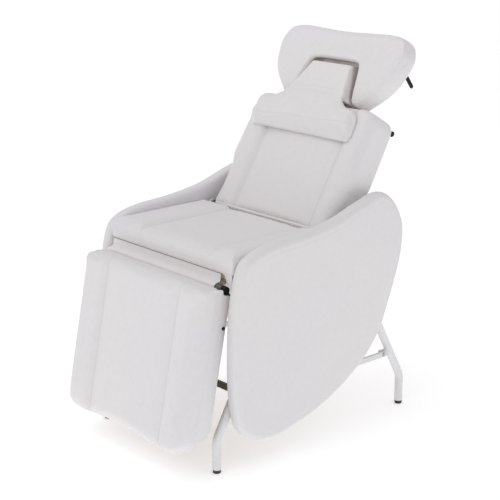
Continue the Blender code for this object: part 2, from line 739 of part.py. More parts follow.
def make_back_arms(frame, looks):
    """Cranked hinge plates with a flange behind the board, and the shaft that joins them."""
    hinge = (0.0, 0.0)
    pin = arm_end(BACK_ARM, RECLINE / 2, BACK_TILT)
    shaft = arm_end(SHAFT_REACH * BACK_ARM, RECLINE / 2, BACK_TILT)
    straps = (
        (BACK_ARM_ELBOW, pin, ARM_W), (BACK_ARM_ELBOW, shaft, ARM_W), (hinge, BACK_WING_END, BACK_WING_W),
    )
    for side in (-1, 1):
        name = side_name(side)
        arm = side_plate(
            f"back_arm_{name}", strap(hinge, BACK_ARM_ELBOW, ARM_W), side, BACK_ARM_X, ARM_T,
            looks["dark_steel"], frame,
        )
        for k, (start, end, width) in enumerate(straps):
            run = side_plate(
                f"helper_arm_run_{k}_{name}", strap(start, end, width), side, BACK_ARM_X, ARM_T, None, frame
            )
            combine(arm, run, "UNION")
        low_x, high_x = sorted((side * BACK_FLANGE_X, side * (BACK_ARM_X + ARM_T)))
        flange_y = BACK_REAR + FIT_GAP
        flange = box(
            f"helper_back_flange_{name}",
            (low_x, flange_y, BACK_FLANGE_Z[0]), (high_x, flange_y + BACK_FLANGE_T, BACK_FLANGE_Z[1]), None,
            frame,
        )
        combine(arm, flange, "UNION")
        for label, spot, radius in (("pivot", hinge, PIVOT_R), ("link", pin, LINK_PIN_R)):
            hole = side_bar(
                f"helper_back_arm_{label}_{name}", side, (BACK_ARM_X - CUT, BACK_ARM_X + ARM_T + CUT), spot,
                radius + TURN_GAP, None, frame,
            )
            combine(arm, hole, "DIFFERENCE")
    reach = BACK_ARM_X - FIT_GAP
    cylinder("back_shaft", (-reach, *shaft), (reach, *shaft), SHAFT_R, looks["zinc"], frame)


def make_link(side, looks):
    """The bar from a backrest arm to the footrest arm on the same side, with its rear pin."""
    name = side_name(side)
    rear = below(BACK_PIVOT, BACK_ARM, RECLINE / 2)
    front = below(FOOT_PIVOT, FOOT_ARM, FOOT_RAISE / 2)
    frame = frame_empty(f"link_frame_{name}", (0.0, *rear))
    run = (front[0] - rear[0], front[1] - rear[1])
    link = side_plate(
        f"sync_link_{name}", strap((0.0, 0.0), run, LINK_W), side, LINK_X, LINK_T, looks["dark_steel"], frame
    )
    pin_end = BACK_ARM_X + ARM_T + RUN_GAP / 2
    pin = side_bar(
        f"helper_link_pin_{name}", side, (LINK_X + LINK_T / 2, pin_end), (0.0, 0.0), LINK_PIN_R, None, frame
    )
    combine(link, pin, "UNION")
    eye = side_bar(
        f"helper_link_eye_{name}", side, (LINK_X - CUT, LINK_X + LINK_T + CUT), run, LINK_PIN_R + TURN_GAP,
        None, frame,
    )
    combine(link, eye, "DIFFERENCE")


def make_footrest(frame, looks):
    """Cushion on its board, the steel frame between its cheeks, and the hinges that turn on the axle."""
    radii = (FOOT_BOTTOM_CORNER_R, FOOT_TOP_CORNER_R, FOOT_TOP_CORNER_R, FOOT_BOTTOM_CORNER_R)
    outline = round_rectangle((-FOOT_HALF_W, FOOT_BOTTOM), (FOOT_HALF_W, FOOT_TOP), radii)
    cushion = prism(
        "footrest_cushion", outline, "Y", FOOT_FACE, FOOT_PAD_BACK, looks["vinyl"], frame,
        bevel=FOOT_EDGE_R, segments=4,
    )
    prism(
        "footrest_board", inset(outline, FOOT_BOARD_INSET), "Y", FOOT_PAD_BACK + FIT_GAP, FOOT_BOARD_BACK,
        looks["board"], frame,
    )
    half_d = FOOT_TUBE_D / 2
    half_w = FOOT_TUBE_W / 2
    for side in (-1, 1):
        name = side_name(side)
        x = side * FOOT_TUBE_X
        box(
            f"footrest_tube_{name}",
            (x - half_w, -half_d, FOOT_TUBE_Z[0]), (x + half_w, half_d, FOOT_TUBE_Z[1]),
            looks["dark_steel"], frame, bevel=EDGE_R, segments=1,
        )
        low_x, high_x = sorted((side * (FOOT_TUBE_X + half_w + FIT_GAP), side * FOOT_CHEEK_OUTER_X))
        cheek = box(
            f"helper_cheek_{name}",
            (low_x, FOOT_CHEEK_Y[0], FOOT_CHEEK_Z[0]), (high_x, FOOT_CHEEK_Y[1], FOOT_CHEEK_Z[1]), None,
            frame,
        )
        combine(cushion, cheek, "UNION")
        face = FOOT_CHEEK_OUTER_X + FIT_GAP
        side_bar(
            f"footrest_bolt_{name}", side, (face, face + FOOT_BOLT_H), (FOOT_BOLT_Y, FOOT_BOLT_Z),
            FOOT_BOLT_R, looks["black"], frame, sides=6,
        )
        make_footrest_hinge(side, frame, looks)
    reach = FOOT_TUBE_X - half_w - FIT_GAP
    box(
        "footrest_cross_tube", (-reach, -half_d, FOOT_CROSS_Z[0]), (reach, half_d, FOOT_CROSS_Z[1]),
        looks["dark_steel"], frame, bevel=EDGE_R, segments=1,
    )


def make_footrest_hinge(side, frame, looks):
    """A sleeve on the axle with the arm that the sync link drives."""
    name = side_name(side)
    hinge = (0.0, 0.0)
    sleeve = side_bar(
        f"footrest_hinge_{name}", side, HINGE_SLEEVE_X, hinge, HINGE_SLEEVE_R, looks["dark_steel"], frame
    )
    end = arm_end(FOOT_ARM, FOOT_RAISE / 2, FOOT_TILT)
    arm = side_plate(
        f"helper_footrest_arm_{name}", strap(hinge, end, ARM_W), side, FOOT_ARM_X, ARM_T, None, frame
    )
    combine(sleeve, arm, "UNION")
    cut_x = (HINGE_SLEEVE_X[0] - CUT, HINGE_SLEEVE_X[1] + CUT)
    for label, spot, radius in (("bore", hinge, AXLE_R), ("eye", end, LINK_PIN_R)):
        hole = side_bar(f"helper_footrest_{label}_{name}", side, cut_x, spot, radius + TURN_GAP, None, frame)
        combine(sleeve, hole, "DIFFERENCE")


def make_headrest(frame, looks):
    """Posts and crossbar, then the winged cushion and the bracket that tilts it on the crossbar."""
    for side in (-1, 1):
        x = side * BACK_TUBE_X
        cylinder(
            f"head_post_{side_name(side)}",
            (x, POST_Y, POST_BOTTOM), (x, POST_Y, HEAD_PIVOT_Z - CROSSBAR_R - FIT_GAP), POST_R,
            looks["chrome"], frame,
        )
    hinge = (POST_Y, HEAD_PIVOT_Z)
    reach = CROSSBAR_HALF_W
    cylinder("head_crossbar", (-reach, *hinge), (reach, *hinge), CROSSBAR_R, looks["chrome"], frame)
    outline = smooth_closed(mirrored(HEAD_OUTLINE), 2)
    pad_on_board(
        "head", outline, (HEAD_FRONT, HEAD_REAR), (HEAD_EDGE_R, HEAD_BOARD_T, HEAD_BOARD_INSET), frame, looks
    )
    plate_front = HEAD_REAR + FIT_GAP
    bracket = box(
        "head_bracket",
        (-HEAD_PLATE_HALF_W, plate_front, HEAD_PLATE_Z[0]),
        (HEAD_PLATE_HALF_W, plate_front + HEAD_PLATE_T, HEAD_PLATE_Z[1]), looks["dark_steel"], frame,
    )
    web = box(
        "helper_head_web",
        (-HEAD_SLEEVE_HALF_W, plate_front + HEAD_PLATE_T / 2, HEAD_WEB_Z[0]),
        (HEAD_SLEEVE_HALF_W, POST_Y, HEAD_WEB_Z[1]), None, frame,
    )
    combine(bracket, web, "UNION")
    sleeve = cylinder(
        "helper_head_sleeve", (-HEAD_SLEEVE_HALF_W, *hinge), (HEAD_SLEEVE_HALF_W, *hinge), HEAD_SLEEVE_R,
        None, frame,
    )
    combine(bracket, sleeve, "UNION")
    bore = cylinder(
        "helper_head_bore", (-HEAD_PLATE_HALF_W, *hinge), (HEAD_PLATE_HALF_W, *hinge), CROSSBAR_R + TURN_GAP,
        None, frame,
    )
    combine(bracket, bore, "DIFFERENCE")
    lever_end = (POST_Y + LEVER_RUN[0], HEAD_PIVOT_Z + LEVER_RUN[1])
    side_plate(
        "head_lever", strap(hinge, lever_end, LEVER_W), 1, reach + RUN_GAP / 2, LEVER_T, looks["black"],
        frame, bevel=0.0015, segments=1,
    )


def make_clamp_knob(side, frame, looks):
    """The knob whose screw holds a post in its tube."""
    name = side_name(side)
    spot = (POST_Y, KNOB_Z)
    knob = side_bar(f"clamp_knob_{name}", side, KNOB_X, spot, KNOB_R, looks["black"], frame, bevel=0.003)
    screw_x = (BACK_TUBE_X + POST_R + 2 * FIT_GAP, KNOB_X[0] + 0.002)
    screw = side_bar(f"helper_clamp_screw_{name}", side, screw_x, spot, KNOB_SCREW_R, None, frame, sides=12)
    combine(knob, screw, "UNION")


def make_neck_pillow(frame, looks):
    """The T-shaped pillow: its stem fills the headrest's notch and its roll lies on the backrest."""
    front = PILLOW_BACK - PILLOW_T
    pillow = prism("neck_pillow", mirrored(PILLOW_OUTLINE), "Y", front, PILLOW_BACK, looks["vinyl"], frame)
    roll = prism(
        "helper_pillow_roll", [(PILLOW_BACK - reach, z) for reach, z in PILLOW_ROLL], "X",
        -PILLOW_ROLL_HALF_W, PILLOW_ROLL_HALF_W, None, frame,
    )
    combine(pillow, roll, "UNION")
    plug = prism(
        "helper_pillow_plug", mirrored(PILLOW_PLUG), "Y", PILLOW_BACK - PILLOW_T / 2, PILLOW_PLUG_BACK, None,
        frame,
    )
    combine(pillow, plug, "UNION")
    foot, head = PILLOW_SLOPE
    slope = prism(
        "helper_pillow_slope", [(front - CUT, foot[1]), foot, head, (front - CUT, head[1])], "X",
        -PILLOW_ROLL_HALF_W, PILLOW_ROLL_HALF_W, None, frame,
    )
    combine(pillow, slope, "DIFFERENCE")


def main():
    clear_scene()
    looks = {
        "vinyl": material("white_vinyl", (0.84, 0.83, 0.83), 0.42),
        "paint": material("white_paint", (0.86, 0.86, 0.86), 0.28),
        "dark_steel": material("dark_steel", (0.13, 0.12, 0.10), 0.38, 0.8),
        "black": material("black_plastic", (0.02, 0.02, 0.02), 0.45),
        "chrome": material("chrome", (0.75, 0.75, 0.76), 0.12, 1.0),
        "zinc": material("zinc", (0.35, 0.35, 0.34), 0.35, 1.0),
        "rubber": material("rubber", (0.05, 0.05, 0.05), 0.7),
        "board": material("board", (0.45, 0.36, 0.24), 0.7),
    }
    make_base(looks)
    make_seat(looks)
    make_stay(looks)
    back = frame_empty("recline_frame", (0.0, *BACK_PIVOT), BACK_TILT)
    make_backrest(back, looks)
    make_back_arms(back, looks)
    make_headrest(back, looks)
    make_neck_pillow(back, looks)
    foot = frame_empty("footrest_frame", (0.0, *FOOT_PIVOT), FOOT_TILT)
    make_footrest(foot, looks)
    for side in (-1, 1):
        make_link(side, looks)
        make_clamp_knob(side, back, looks)
    chair = frame_empty("chair", (0.0, CENTRE_SHIFT_Y, 0.0))
    for obj in bpy.data.objects:
        if obj.parent is None and obj is not chair:
            obj.parent = chair


if __name__ == "__main__":
    main()
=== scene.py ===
"""Pedicure spa chair: upholstery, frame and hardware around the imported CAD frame.

Every pad is shaped in the frame of its own face: X across, -Y out of the face, Z up along it.
"""
import json
from math import cos, pi, radians, sin

import bmesh
import bpy
import numpy as np
from mathutils import Matrix, Vector, noise


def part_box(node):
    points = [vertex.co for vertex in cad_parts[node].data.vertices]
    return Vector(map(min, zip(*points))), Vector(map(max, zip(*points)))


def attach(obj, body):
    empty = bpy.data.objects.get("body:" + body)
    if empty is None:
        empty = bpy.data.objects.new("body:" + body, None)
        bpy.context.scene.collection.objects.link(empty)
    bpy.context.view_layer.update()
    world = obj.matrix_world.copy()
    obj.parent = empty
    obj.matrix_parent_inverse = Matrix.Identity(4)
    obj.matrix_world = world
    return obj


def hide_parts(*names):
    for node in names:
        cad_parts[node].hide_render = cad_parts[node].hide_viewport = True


# Camera, in the frame of the whole chair
CAMERA_SPOT = (3.022, -2.6984, 1.740)
CAMERA_TARGET = (-0.0257, 0.0246, 0.5524)
CAMERA_LENS = 94.3
CAMERA_SENSOR = 36.0

SIDES = (("left", -1.0), ("right", 1.0))
CENTRE_Y = 0.0246  # the seat's and panels' own origin along the chair

# Each pad's outline is (X, Z) in its own frame, with a radius for each corner. Its Y pair is the front and
# rear face, and its tilt is how far the face leans back. In the seat's frame Y is minus the height and Z
# runs from front to rear.
SEAT_TILT = 90.0
SEAT_OUTLINE = ((-0.2936, -0.3575), (0.2936, -0.3575), (0.2936, 0.033), (-0.2936, 0.033))
SEAT_CORNERS = (0.005, 0.005, 0.012, 0.012)
SEAT_Y = (-0.672, -0.606)

BACK_TILT = 31.0
BACK_OUTLINE = (
    (-0.262, 0.0005), (0.262, 0.0005), (0.263, 0.145), (0.275, 0.190), (0.270, 0.4215),
    (-0.266, 0.4215), (-0.275, 0.190), (-0.263, 0.145),
)
BACK_CORNERS = (0.018, 0.018, 0.060, 0.060, 0.050, 0.050, 0.060, 0.060)
BACK_Y = (-0.021, 0.107)
BACK_BOARD = (0.015, 0.014)  # thickness, inset from the pad's edge

FOOT_TILT = 11.5
FOOT_OUTLINE = ((-0.283, -0.497), (0.283, -0.497), (0.283, 0.004), (-0.283, 0.004))
FOOT_CORNERS = (0.060, 0.060, 0.012, 0.034)
FOOT_Y = (-0.110, -0.028)

# The headrest's half at +X, in the backrest's frame. Left and right are as seen from the chair's front.
HEAD_HALF = (
    (0.0000, 0.6786), (0.1067, 0.6818), (0.1973, 0.6850), (0.2495, 0.6712), (0.2745, 0.6274),
    (0.2715, 0.5848), (0.2580, 0.5368), (0.2318, 0.4950), (0.1935, 0.4570), (0.1640, 0.4345),
    (0.1462, 0.4360), (0.1355, 0.4621), (0.1195, 0.5368), (0.1109, 0.5660), (0.0981, 0.5785),
    (0.0000, 0.5805),
)
HEAD_Y = (0.0, 0.0695)
HEAD_BOARD = (0.010, 0.010)
LEFT_WING_EXTRA = 0.0055

# The side panel's outline is (distance along the chair, height), and its X pair is its inner and outer face
PANEL_OUTLINE = (
    (0.334, 0.625), (0.325, 0.678), (0.287, 0.738), (0.231, 0.770), (0.144, 0.752), (0.030, 0.716),
    (-0.100, 0.697), (-0.220, 0.689), (-0.305, 0.670), (-0.350, 0.630), (-0.376, 0.514), (-0.384, 0.360),
    (-0.376, 0.210), (-0.345, 0.124), (-0.260, 0.083), (-0.143, 0.094), (-0.005, 0.136), (0.130, 0.209),
    (0.226, 0.302), (0.288, 0.436), (0.325, 0.545),
)
PANEL_X = (0.294, 0.342)

SEAM_LEFT = -0.160
SEAM_RIGHT = 0.184
SEAM_HALF_WIDTH = 0.0050
SEAM_PUCKER = 0.0005
STITCH_AND_SHADE_HALF_WIDTH = 0.0022
STITCH_AND_SHADE_FULL_DEPTH = 0.0016  # a seam this deep or deeper gets the full stitching colour and painted seam shade
RIPPLE_SCALE = 38.0  # small folds beside a seam, per metre
SWELL_SCALE = 9.0  # broad unevenness of a cover, per metre

CLOTH_STEPS = 14
CLOTH_PRESSURE = 20.0
CLOTH_VERTEX_MASS = 0.02
CLOTH_STRETCH = 25.0
CLOTH_SHEAR = 15.0
CLOTH_BENDING = 2.0

# The strip under the seat, as (Y from the seat's own origin, height): down from the board, then round the
# footrest's axle
STRIP_X = (-0.2925, 0.2370)
STRIP_COLUMNS = 72
STRIP_DROP = ((-0.3490, 0.6046), (-0.3502, 0.5980), (-0.3506, 0.5910), (-0.3516, 0.5850), (-0.3550, 0.5808))
STRIP_AXLE = (-0.3625, 0.565)
STRIP_ANGLES = (90.0, 106.0, 122.0, 138.0, 154.0, 168.0)
STRIP_RADIUS = 0.0151
STRIP_THICKNESS = 0.0008

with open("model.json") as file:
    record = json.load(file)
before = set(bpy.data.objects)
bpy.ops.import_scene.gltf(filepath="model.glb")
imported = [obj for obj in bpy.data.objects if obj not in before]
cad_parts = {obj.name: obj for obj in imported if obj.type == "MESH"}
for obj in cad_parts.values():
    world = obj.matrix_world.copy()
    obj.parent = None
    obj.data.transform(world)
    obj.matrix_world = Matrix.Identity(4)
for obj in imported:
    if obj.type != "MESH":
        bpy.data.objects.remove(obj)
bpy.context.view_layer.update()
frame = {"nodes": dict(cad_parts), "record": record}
nodes = frame["nodes"]
hinges = {joint["name"]: joint for joint in frame["record"]["behaviour"]["joints"]}


# ---------------------------------------------------------------- frames and outlines

def face_frame(origin, tilt):
    """The frame of a face that leans back by tilt degrees."""
    t = radians(tilt)
    turn = Matrix(((1.0, 0.0, 0.0), (0.0, cos(t), sin(t)), (0.0, -sin(t), cos(t)))).to_4x4()
    return Matrix.Translation(Vector(origin)) @ turn


def panel_frame(side):
    """The frame of a side panel's outer face."""
    turn = Matrix(((0.0, -side, 0.0), (side, 0.0, 0.0), (0.0, 0.0, 1.0))).to_4x4()
    return Matrix.Translation(Vector((0.0, CENTRE_Y, 0.0))) @ turn


SEAT = face_frame((0.0, CENTRE_Y, 0.0), SEAT_TILT)
BACK = face_frame(hinges["recline"]["pos_m"], BACK_TILT)
FOOT = face_frame(hinges["footrest_raise"]["pos_m"], FOOT_TILT)


def smooth_closed(points, steps):
    """Points along a closed Catmull-Rom curve through the given ones."""
    count = len(points)
    out = []
    for i in range(count):
        p0, p1, p2, p3 = (Vector(points[(i + k - 1) % count]) for k in range(4))
        for s in range(steps):
            t = s / steps
            spot = 0.5 * (
                2 * p1 + (p2 - p0) * t + (2 * p0 - 5 * p1 + 4 * p2 - p3) * t * t
                + (3 * p1 - p0 - 3 * p2 + p3) * t * t * t
            )
            out.append((spot.x, spot.y))
    return out


def rounded(points, radii):
    """The polygon with each corner rounded by its own radius."""
    steps = 8
    least_tangent = 0.05  # keeps the rounding short at a nearly straight corner
    out = []
    count = len(points)
    for i, radius in enumerate(radii):
        corner = Vector(points[i])
        before = (Vector(points[i - 1]) - corner).normalized()
        after = (Vector(points[(i + 1) % count]) - corner).normalized()
        half = before.angle(after) / 2
        run = radius / max(least_tangent, np.tan(half))
        start = corner + before * run
        end = corner + after * run
        for s in range(steps + 1):
            t = s / steps
            spot = (1 - t) ** 2 * start + 2 * t * (1 - t) * corner + t * t * end
            out.append((spot.x, spot.y))
    return out


def grown(outline, distance):
    """The closed outline moved outwards."""
    area = sum(a[0] * b[1] - b[0] * a[1] for a, b in zip(outline, outline[1:] + outline[:1]))
    outward = 1.0 if area > 0 else -1.0
    out = []
    for i, point in enumerate(outline):
        along = (Vector(outline[(i + 1) % len(outline)]) - Vector(outline[i - 1])).normalized()
        out.append((point[0] + outward * along.y * distance, point[1] - outward * along.x * distance))
    return out


def mirrored(half):
    """A full outline from its right half, which starts and ends on the middle line."""
    return list(half) + [(-x, z) for x, z in reversed(half) if x > 0.0]


def segment_distance(spots, start, end):
    """Distance from each 2-D spot to a segment."""
    a, b = np.array(start), np.array(end)
    run = b - a
    t = np.clip(((spots - a) @ run) / max(1e-12, run @ run), 0.0, 1.0)
    return np.linalg.norm(spots - (a + t[:, None] * run), axis=1)


def inside_distance(spots, outline):
    """Distance from each 2-D spot to the closed outline, positive inside it."""
    best = np.full(len(spots), 1e9)
    inside = np.zeros(len(spots), bool)
    for i, end in enumerate(outline):
        start = outline[i - 1]
        best = np.minimum(best, segment_distance(spots, start, end))
        crosses = (start[1] > spots[:, 1]) != (end[1] > spots[:, 1])
        rise = end[1] - start[1]
        if abs(rise) > 1e-12:
            meet = start[0] + (spots[:, 1] - start[1]) * (end[0] - start[0]) / rise
            inside ^= crosses & (spots[:, 0] < meet)
    return np.where(inside, best, -best)


def line_distance(spots, points):
    """Distance from each 2-D spot to an open chain of points."""
    best = np.full(len(spots), 1e9)
    for start, end in zip(points, points[1:]):
        best = np.minimum(best, segment_distance(spots, start, end))
    return best


def ease(low, high, value):
    """0 below low, 1 above high, and a smooth step between."""
    t = np.clip((value - low) / (high - low), 0.0, 1.0)
    return t * t * (3.0 - 2.0 * t)


def bell(value, middle, width):
    """1 at the middle, falling smoothly to almost 0 two widths from it."""
    return np.exp(-((value - middle) / width) ** 2)


# ---------------------------------------------------------------- mesh helpers

def coords_of(mesh):
    """The mesh's vertex positions, one row each."""
    flat = np.empty(len(mesh.vertices) * 3)
    mesh.vertices.foreach_get("co", flat)
    return flat.reshape(-1, 3)


def set_coords(mesh, coords):
    mesh.vertices.foreach_set("co", np.ascontiguousarray(coords).ravel())
    mesh.update()


def new_object(name, mesh):
    obj = bpy.data.objects.new(name, mesh)
    bpy.context.scene.collection.objects.link(obj)
    return obj


def bake_modifiers(obj):
    """Replaces the object's mesh with what its modifiers make of it."""
    graph = bpy.context.evaluated_depsgraph_get()
    graph.update()
    made = bpy.data.meshes.new_from_object(obj.evaluated_get(graph))
    old = obj.data
    obj.modifiers.clear()
    obj.data = made
    bpy.data.meshes.remove(old)


def remesh(obj, voxel):
    """Rebuilds the mesh as even quads of about the voxel's size."""
    step = obj.modifiers.new("Remesh", "REMESH")
    step.mode = "VOXEL"
    step.voxel_size = voxel
    bake_modifiers(obj)


def smooth_out(obj, rounds):
    step = obj.modifiers.new("Smooth", "SMOOTH")
    step.iterations = rounds
    step.factor = 0.5
    bake_modifiers(obj)


def subdivide(obj):
    step = obj.modifiers.new("Subdivision", "SUBSURF")
    step.levels = 1
    step.render_levels = 1
    bake_modifiers(obj)


def skin(bm, rings):
    """Faces between neighbouring rings of vertices, and a face over each end."""
    for before, after in zip(rings, rings[1:]):
        for k in range(len(before)):
            bm.faces.new((before[k - 1], before[k], after[k], after[k - 1]))
    bm.faces.new(rings[0])
    bm.faces.new(list(reversed(rings[-1])))


def mesh_of(bm, name):
    """A mesh from closed shells, with their faces turned outwards."""
    bmesh.ops.recalc_face_normals(bm, faces=bm.faces)
    mesh = bpy.data.meshes.new(name)
    bm.to_mesh(mesh)
    bm.free()
    return mesh


def prism_mesh(name, outline, low, high):
    """A closed prism between two depths along Y."""
    bm = bmesh.new()
    near = [bm.verts.new((x, low, z)) for x, z in outline]
    far = [bm.verts.new((x, high, z)) for x, z in outline]
    bm.faces.new(near)
    bm.faces.new(list(reversed(far)))
    for i in range(len(outline)):
        bm.faces.new((near[i - 1], far[i - 1], far[i], near[i]))
    return mesh_of(bm, name)


def bevelled(name, outline, low, high):
    """A plate with its edges rounded: outline in X and Z, depth in Y."""
    obj = new_object(name, prism_mesh(name, outline, low, high))
    step = obj.modifiers.new("Bevel", "BEVEL")
    step.width = 0.0016
    step.segments = 3
    step.limit_method = "ANGLE"
    step.angle_limit = radians(35.0)
    bake_modifiers(obj)
    return obj


def cut_lines(obj, planes):
    """Adds edges to the mesh along planes, given as (point, normal), so that a seam can be crisp."""
    bm = bmesh.new()
    bm.from_mesh(obj.data)
    for point, normal in planes:
        geometry = list(bm.verts) + list(bm.edges) + list(bm.faces)
        bmesh.ops.bisect_plane(bm, geom=geometry, dist=1e-5, plane_co=point, plane_no=normal)
    bm.to_mesh(obj.data)
    bm.free()


def finish_mesh(obj, place, look):
    """Puts a mesh made in a face's frame in its place, smooth and with its finish."""
    obj.data.transform(place)
    if place.determinant() < 0:
        obj.data.flip_normals()
    for polygon in obj.data.polygons:
        polygon.use_smooth = True
    obj.data.materials.clear()
    obj.data.materials.append(look)
    obj.data.update()


# ---------------------------------------------------------------- padded pieces

def round_over(depth, radius):
    """How far a rounded edge has fallen away at a depth inside the outline."""
    left = np.clip(radius - depth, 0.0, radius)
    return radius - np.sqrt(np.maximum(radius * radius - left * left, 0.0))


def slab(name, outline, y_range, front_radius, rear_radius, voxel):
    """A closed slab with rounded front and rear edges.

    The front radius is a number or a function of (x, z).
    """
    front, rear = y_range
    least_thickness = 0.0005
    obj = new_object(name, prism_mesh(name, outline, front, rear))
    remesh(obj, voxel)
    co = coords_of(obj.data)
    spots = co[:, [0, 2]]
    depth = np.maximum(inside_distance(spots, outline), 0.0)
    radius = front_radius(spots) if callable(front_radius) else front_radius
    nearest = front + round_over(depth, radius)
    furthest = rear - round_over(depth, rear_radius)
    co[:, 1] = np.clip(co[:, 1], nearest, np.maximum(furthest, nearest + least_thickness))
    set_coords(obj.data, co)
    remesh(obj, voxel)
    smooth_out(obj, 2)
    return obj


def front_share(co, y_range):
    """1 on the front face, falling to 0 a little behind the middle of the thickness."""
    front, rear = y_range
    reach = 0.55 * (rear - front)
    return ease(0.0, 1.0, np.clip(1.0 - (co[:, 1] - front) / reach, 0.0, 1.0))


def sink(obj, y_range, relief):
    """Moves the front face in by relief(spots) metres."""
    co = coords_of(obj.data)
    co[:, 1] += front_share(co, y_range) * relief(co[:, [0, 2]])
    set_coords(obj.data, co)


def inflate(obj, free, cap):
    """A short cloth simulation under air pressure, with no vertex moving further than cap metres.

    free is each vertex's share of freedom, 0 where it is held.
    """
    rest = coords_of(obj.data)
    group = obj.vertex_groups.new(name="hold")
    for index in np.nonzero(free < 0.98)[0]:
        group.add([int(index)], float(1.0 - free[index]), "REPLACE")
    cloth = obj.modifiers.new("Cloth", "CLOTH")
    settings = cloth.settings
    settings.quality = 4
    settings.mass = CLOTH_VERTEX_MASS
    settings.tension_stiffness = CLOTH_STRETCH
    settings.compression_stiffness = CLOTH_STRETCH
    settings.shear_stiffness = CLOTH_SHEAR
    settings.bending_stiffness = CLOTH_BENDING
    settings.use_pressure = True
    settings.uniform_pressure_force = CLOTH_PRESSURE
    settings.vertex_group_mass = group.name
    settings.effector_weights.gravity = 0.0
    cloth.collision_settings.use_collision = False
    cloth.point_cache.frame_start = 1
    cloth.point_cache.frame_end = CLOTH_STEPS
    scene = bpy.context.scene
    for step in range(1, CLOTH_STEPS + 1):
        scene.frame_set(step)
    graph = bpy.context.evaluated_depsgraph_get()
    swollen = obj.evaluated_get(graph).to_mesh()
    moved = coords_of(swollen) - rest
    obj.evaluated_get(graph).to_mesh_clear()
    obj.modifiers.clear()
    obj.vertex_groups.clear()
    scene.frame_set(1)
    size = np.linalg.norm(moved, axis=1)
    shrink = cap * np.tanh(size / cap) / np.maximum(size, 1e-9)
    set_coords(obj.data, rest + moved * (shrink * free)[:, None])


def vertex_normals(mesh):
    flat = np.empty(len(mesh.vertices) * 3)
    mesh.vertices.foreach_get("normal", flat)
    return flat.reshape(-1, 3)


def mark(mesh, name, amount):
    """Stores a number at each vertex, for the cover's material to read."""
    attribute = mesh.attributes.new(name, "FLOAT", "POINT")
    attribute.data.foreach_set("value", amount.astype(np.float32))


def noise_over(co, scale, seed):
    """Smooth noise at each vertex."""
    return np.array([noise.noise(Vector((p[0] * scale, p[1] * scale, p[2] * scale + seed))) for p in co])


def sew(obj, y_range, seams, seed, waves=0.0004):
    """Presses sewn channels into the front face and leaves slight unevenness in the cover.

    Each seam is (chain of (x, z) points, depth, half width, pucker).
    """
    co = coords_of(obj.data)
    normals = vertex_normals(obj.data)
    share = front_share(co, y_range)
    spots = co[:, [0, 2]]
    crease = np.zeros(len(co))
    inward = np.zeros(len(co))
    ripple = noise_over(co, RIPPLE_SCALE, seed)
    swell = noise_over(co, SWELL_SCALE, seed)
    for chain, depth, half_width, pucker in seams:
        distance = line_distance(spots, chain)
        inward = np.maximum(inward, depth * bell(distance, 0.0, half_width))
        # The seam line's colour mark: stitching, and partly painted shade in the seam
        line = bell(distance, 0.0, STITCH_AND_SHADE_HALF_WIDTH) * (share > 0.2)
        crease = np.maximum(crease, line * min(1.0, depth / STITCH_AND_SHADE_FULL_DEPTH))
        inward += pucker * ripple * bell(distance, 0.0, 5.0 * half_width)
    inward += waves * swell
    behind = 0.25 * (inward < waves)  # away from the seams, the sides and rear are uneven too
    co -= normals * (inward * np.maximum(share, behind))[:, None]
    set_coords(obj.data, co)
    mark(obj.data, "crease", crease)


def pocket(pad, y_range, outline, board):
    """Sinks the rear face where the pad's board lies flush in it."""
    thickness, margin = board
    gap = 0.0015
    co = coords_of(pad.data)
    depth = inside_distance(co[:, [0, 2]], outline)
    rear = ease(y_range[1] - 0.004, y_range[1] - 0.001, co[:, 1])
    co[:, 1] -= rear * ease(margin - 0.006, margin - 0.001, depth) * (thickness + gap)
    set_coords(pad.data, co)


# ---------------------------------------------------------------- materials

def node_kit(name):
    """A new material, its node tree, shader and coordinates, and a function that adds nodes to it."""
    look = bpy.data.materials.new(name)
    look.use_nodes = True
    tree = look.node_tree
    shader = tree.nodes["Principled BSDF"]
    place = tree.nodes.new("ShaderNodeTexCoord")

    def add(kind, **values):
        made = tree.nodes.new(kind)
        for key, value in values.items():
            if key in made.inputs:
                made.inputs[key].default_value = value
            else:
                setattr(made, key, value)
        return made

    return look, tree, shader, place, add


# Sockets of a Mix node set to colours, which share their names with its other kinds
MIX_FACTOR = 0
MIX_FIRST = 6
MIX_SECOND = 7
MIX_COLOUR = 2


def mix_colours(add, tree, factor, first, second):
    """A colour between two tones, by the factor socket."""
    mixer = add("ShaderNodeMix", data_type="RGBA")
    mixer.inputs[MIX_FIRST].default_value = (*first, 1.0)
    mixer.inputs[MIX_SECOND].default_value = (*second, 1.0)
    tree.links.new(factor, mixer.inputs[MIX_FACTOR])
    return mixer.outputs[MIX_COLOUR]


def lay_over(add, tree, colour, factor, tone, blend="MULTIPLY"):
    """The colour socket with a tone laid over it where the factor socket says."""
    mixer = add("ShaderNodeMix", data_type="RGBA", blend_type=blend)
    mixer.inputs[MIX_SECOND].default_value = (*tone, 1.0)
    tree.links.new(factor, mixer.inputs[MIX_FACTOR])
    tree.links.new(colour, mixer.inputs[MIX_FIRST])
    return mixer.outputs[MIX_COLOUR]


def range_of(add, tree, source, low, high, from_low=0.0, from_high=1.0):
    """The source socket, stretched from one range to another."""
    stretch = add("ShaderNodeMapRange")
    stretch.inputs["From Min"].default_value = from_low
    stretch.inputs["From Max"].default_value = from_high
    stretch.inputs["To Min"].default_value = low
    stretch.inputs["To Max"].default_value = high
    tree.links.new(source, stretch.inputs["Value"])
    return stretch.outputs[0]


def bump_chain(add, tree, shader, sources):
    """Bumps in a row; each source is (height socket, strength, distance)."""
    before = None
    for height, strength, distance in sources:
        bump = add("ShaderNodeBump", Strength=strength, Distance=distance)
        tree.links.new(height, bump.inputs["Height"])
        if before is not None:
            tree.links.new(before.outputs[0], bump.inputs["Normal"])
        before = bump
    tree.links.new(before.outputs[0], shader.inputs["Normal"])


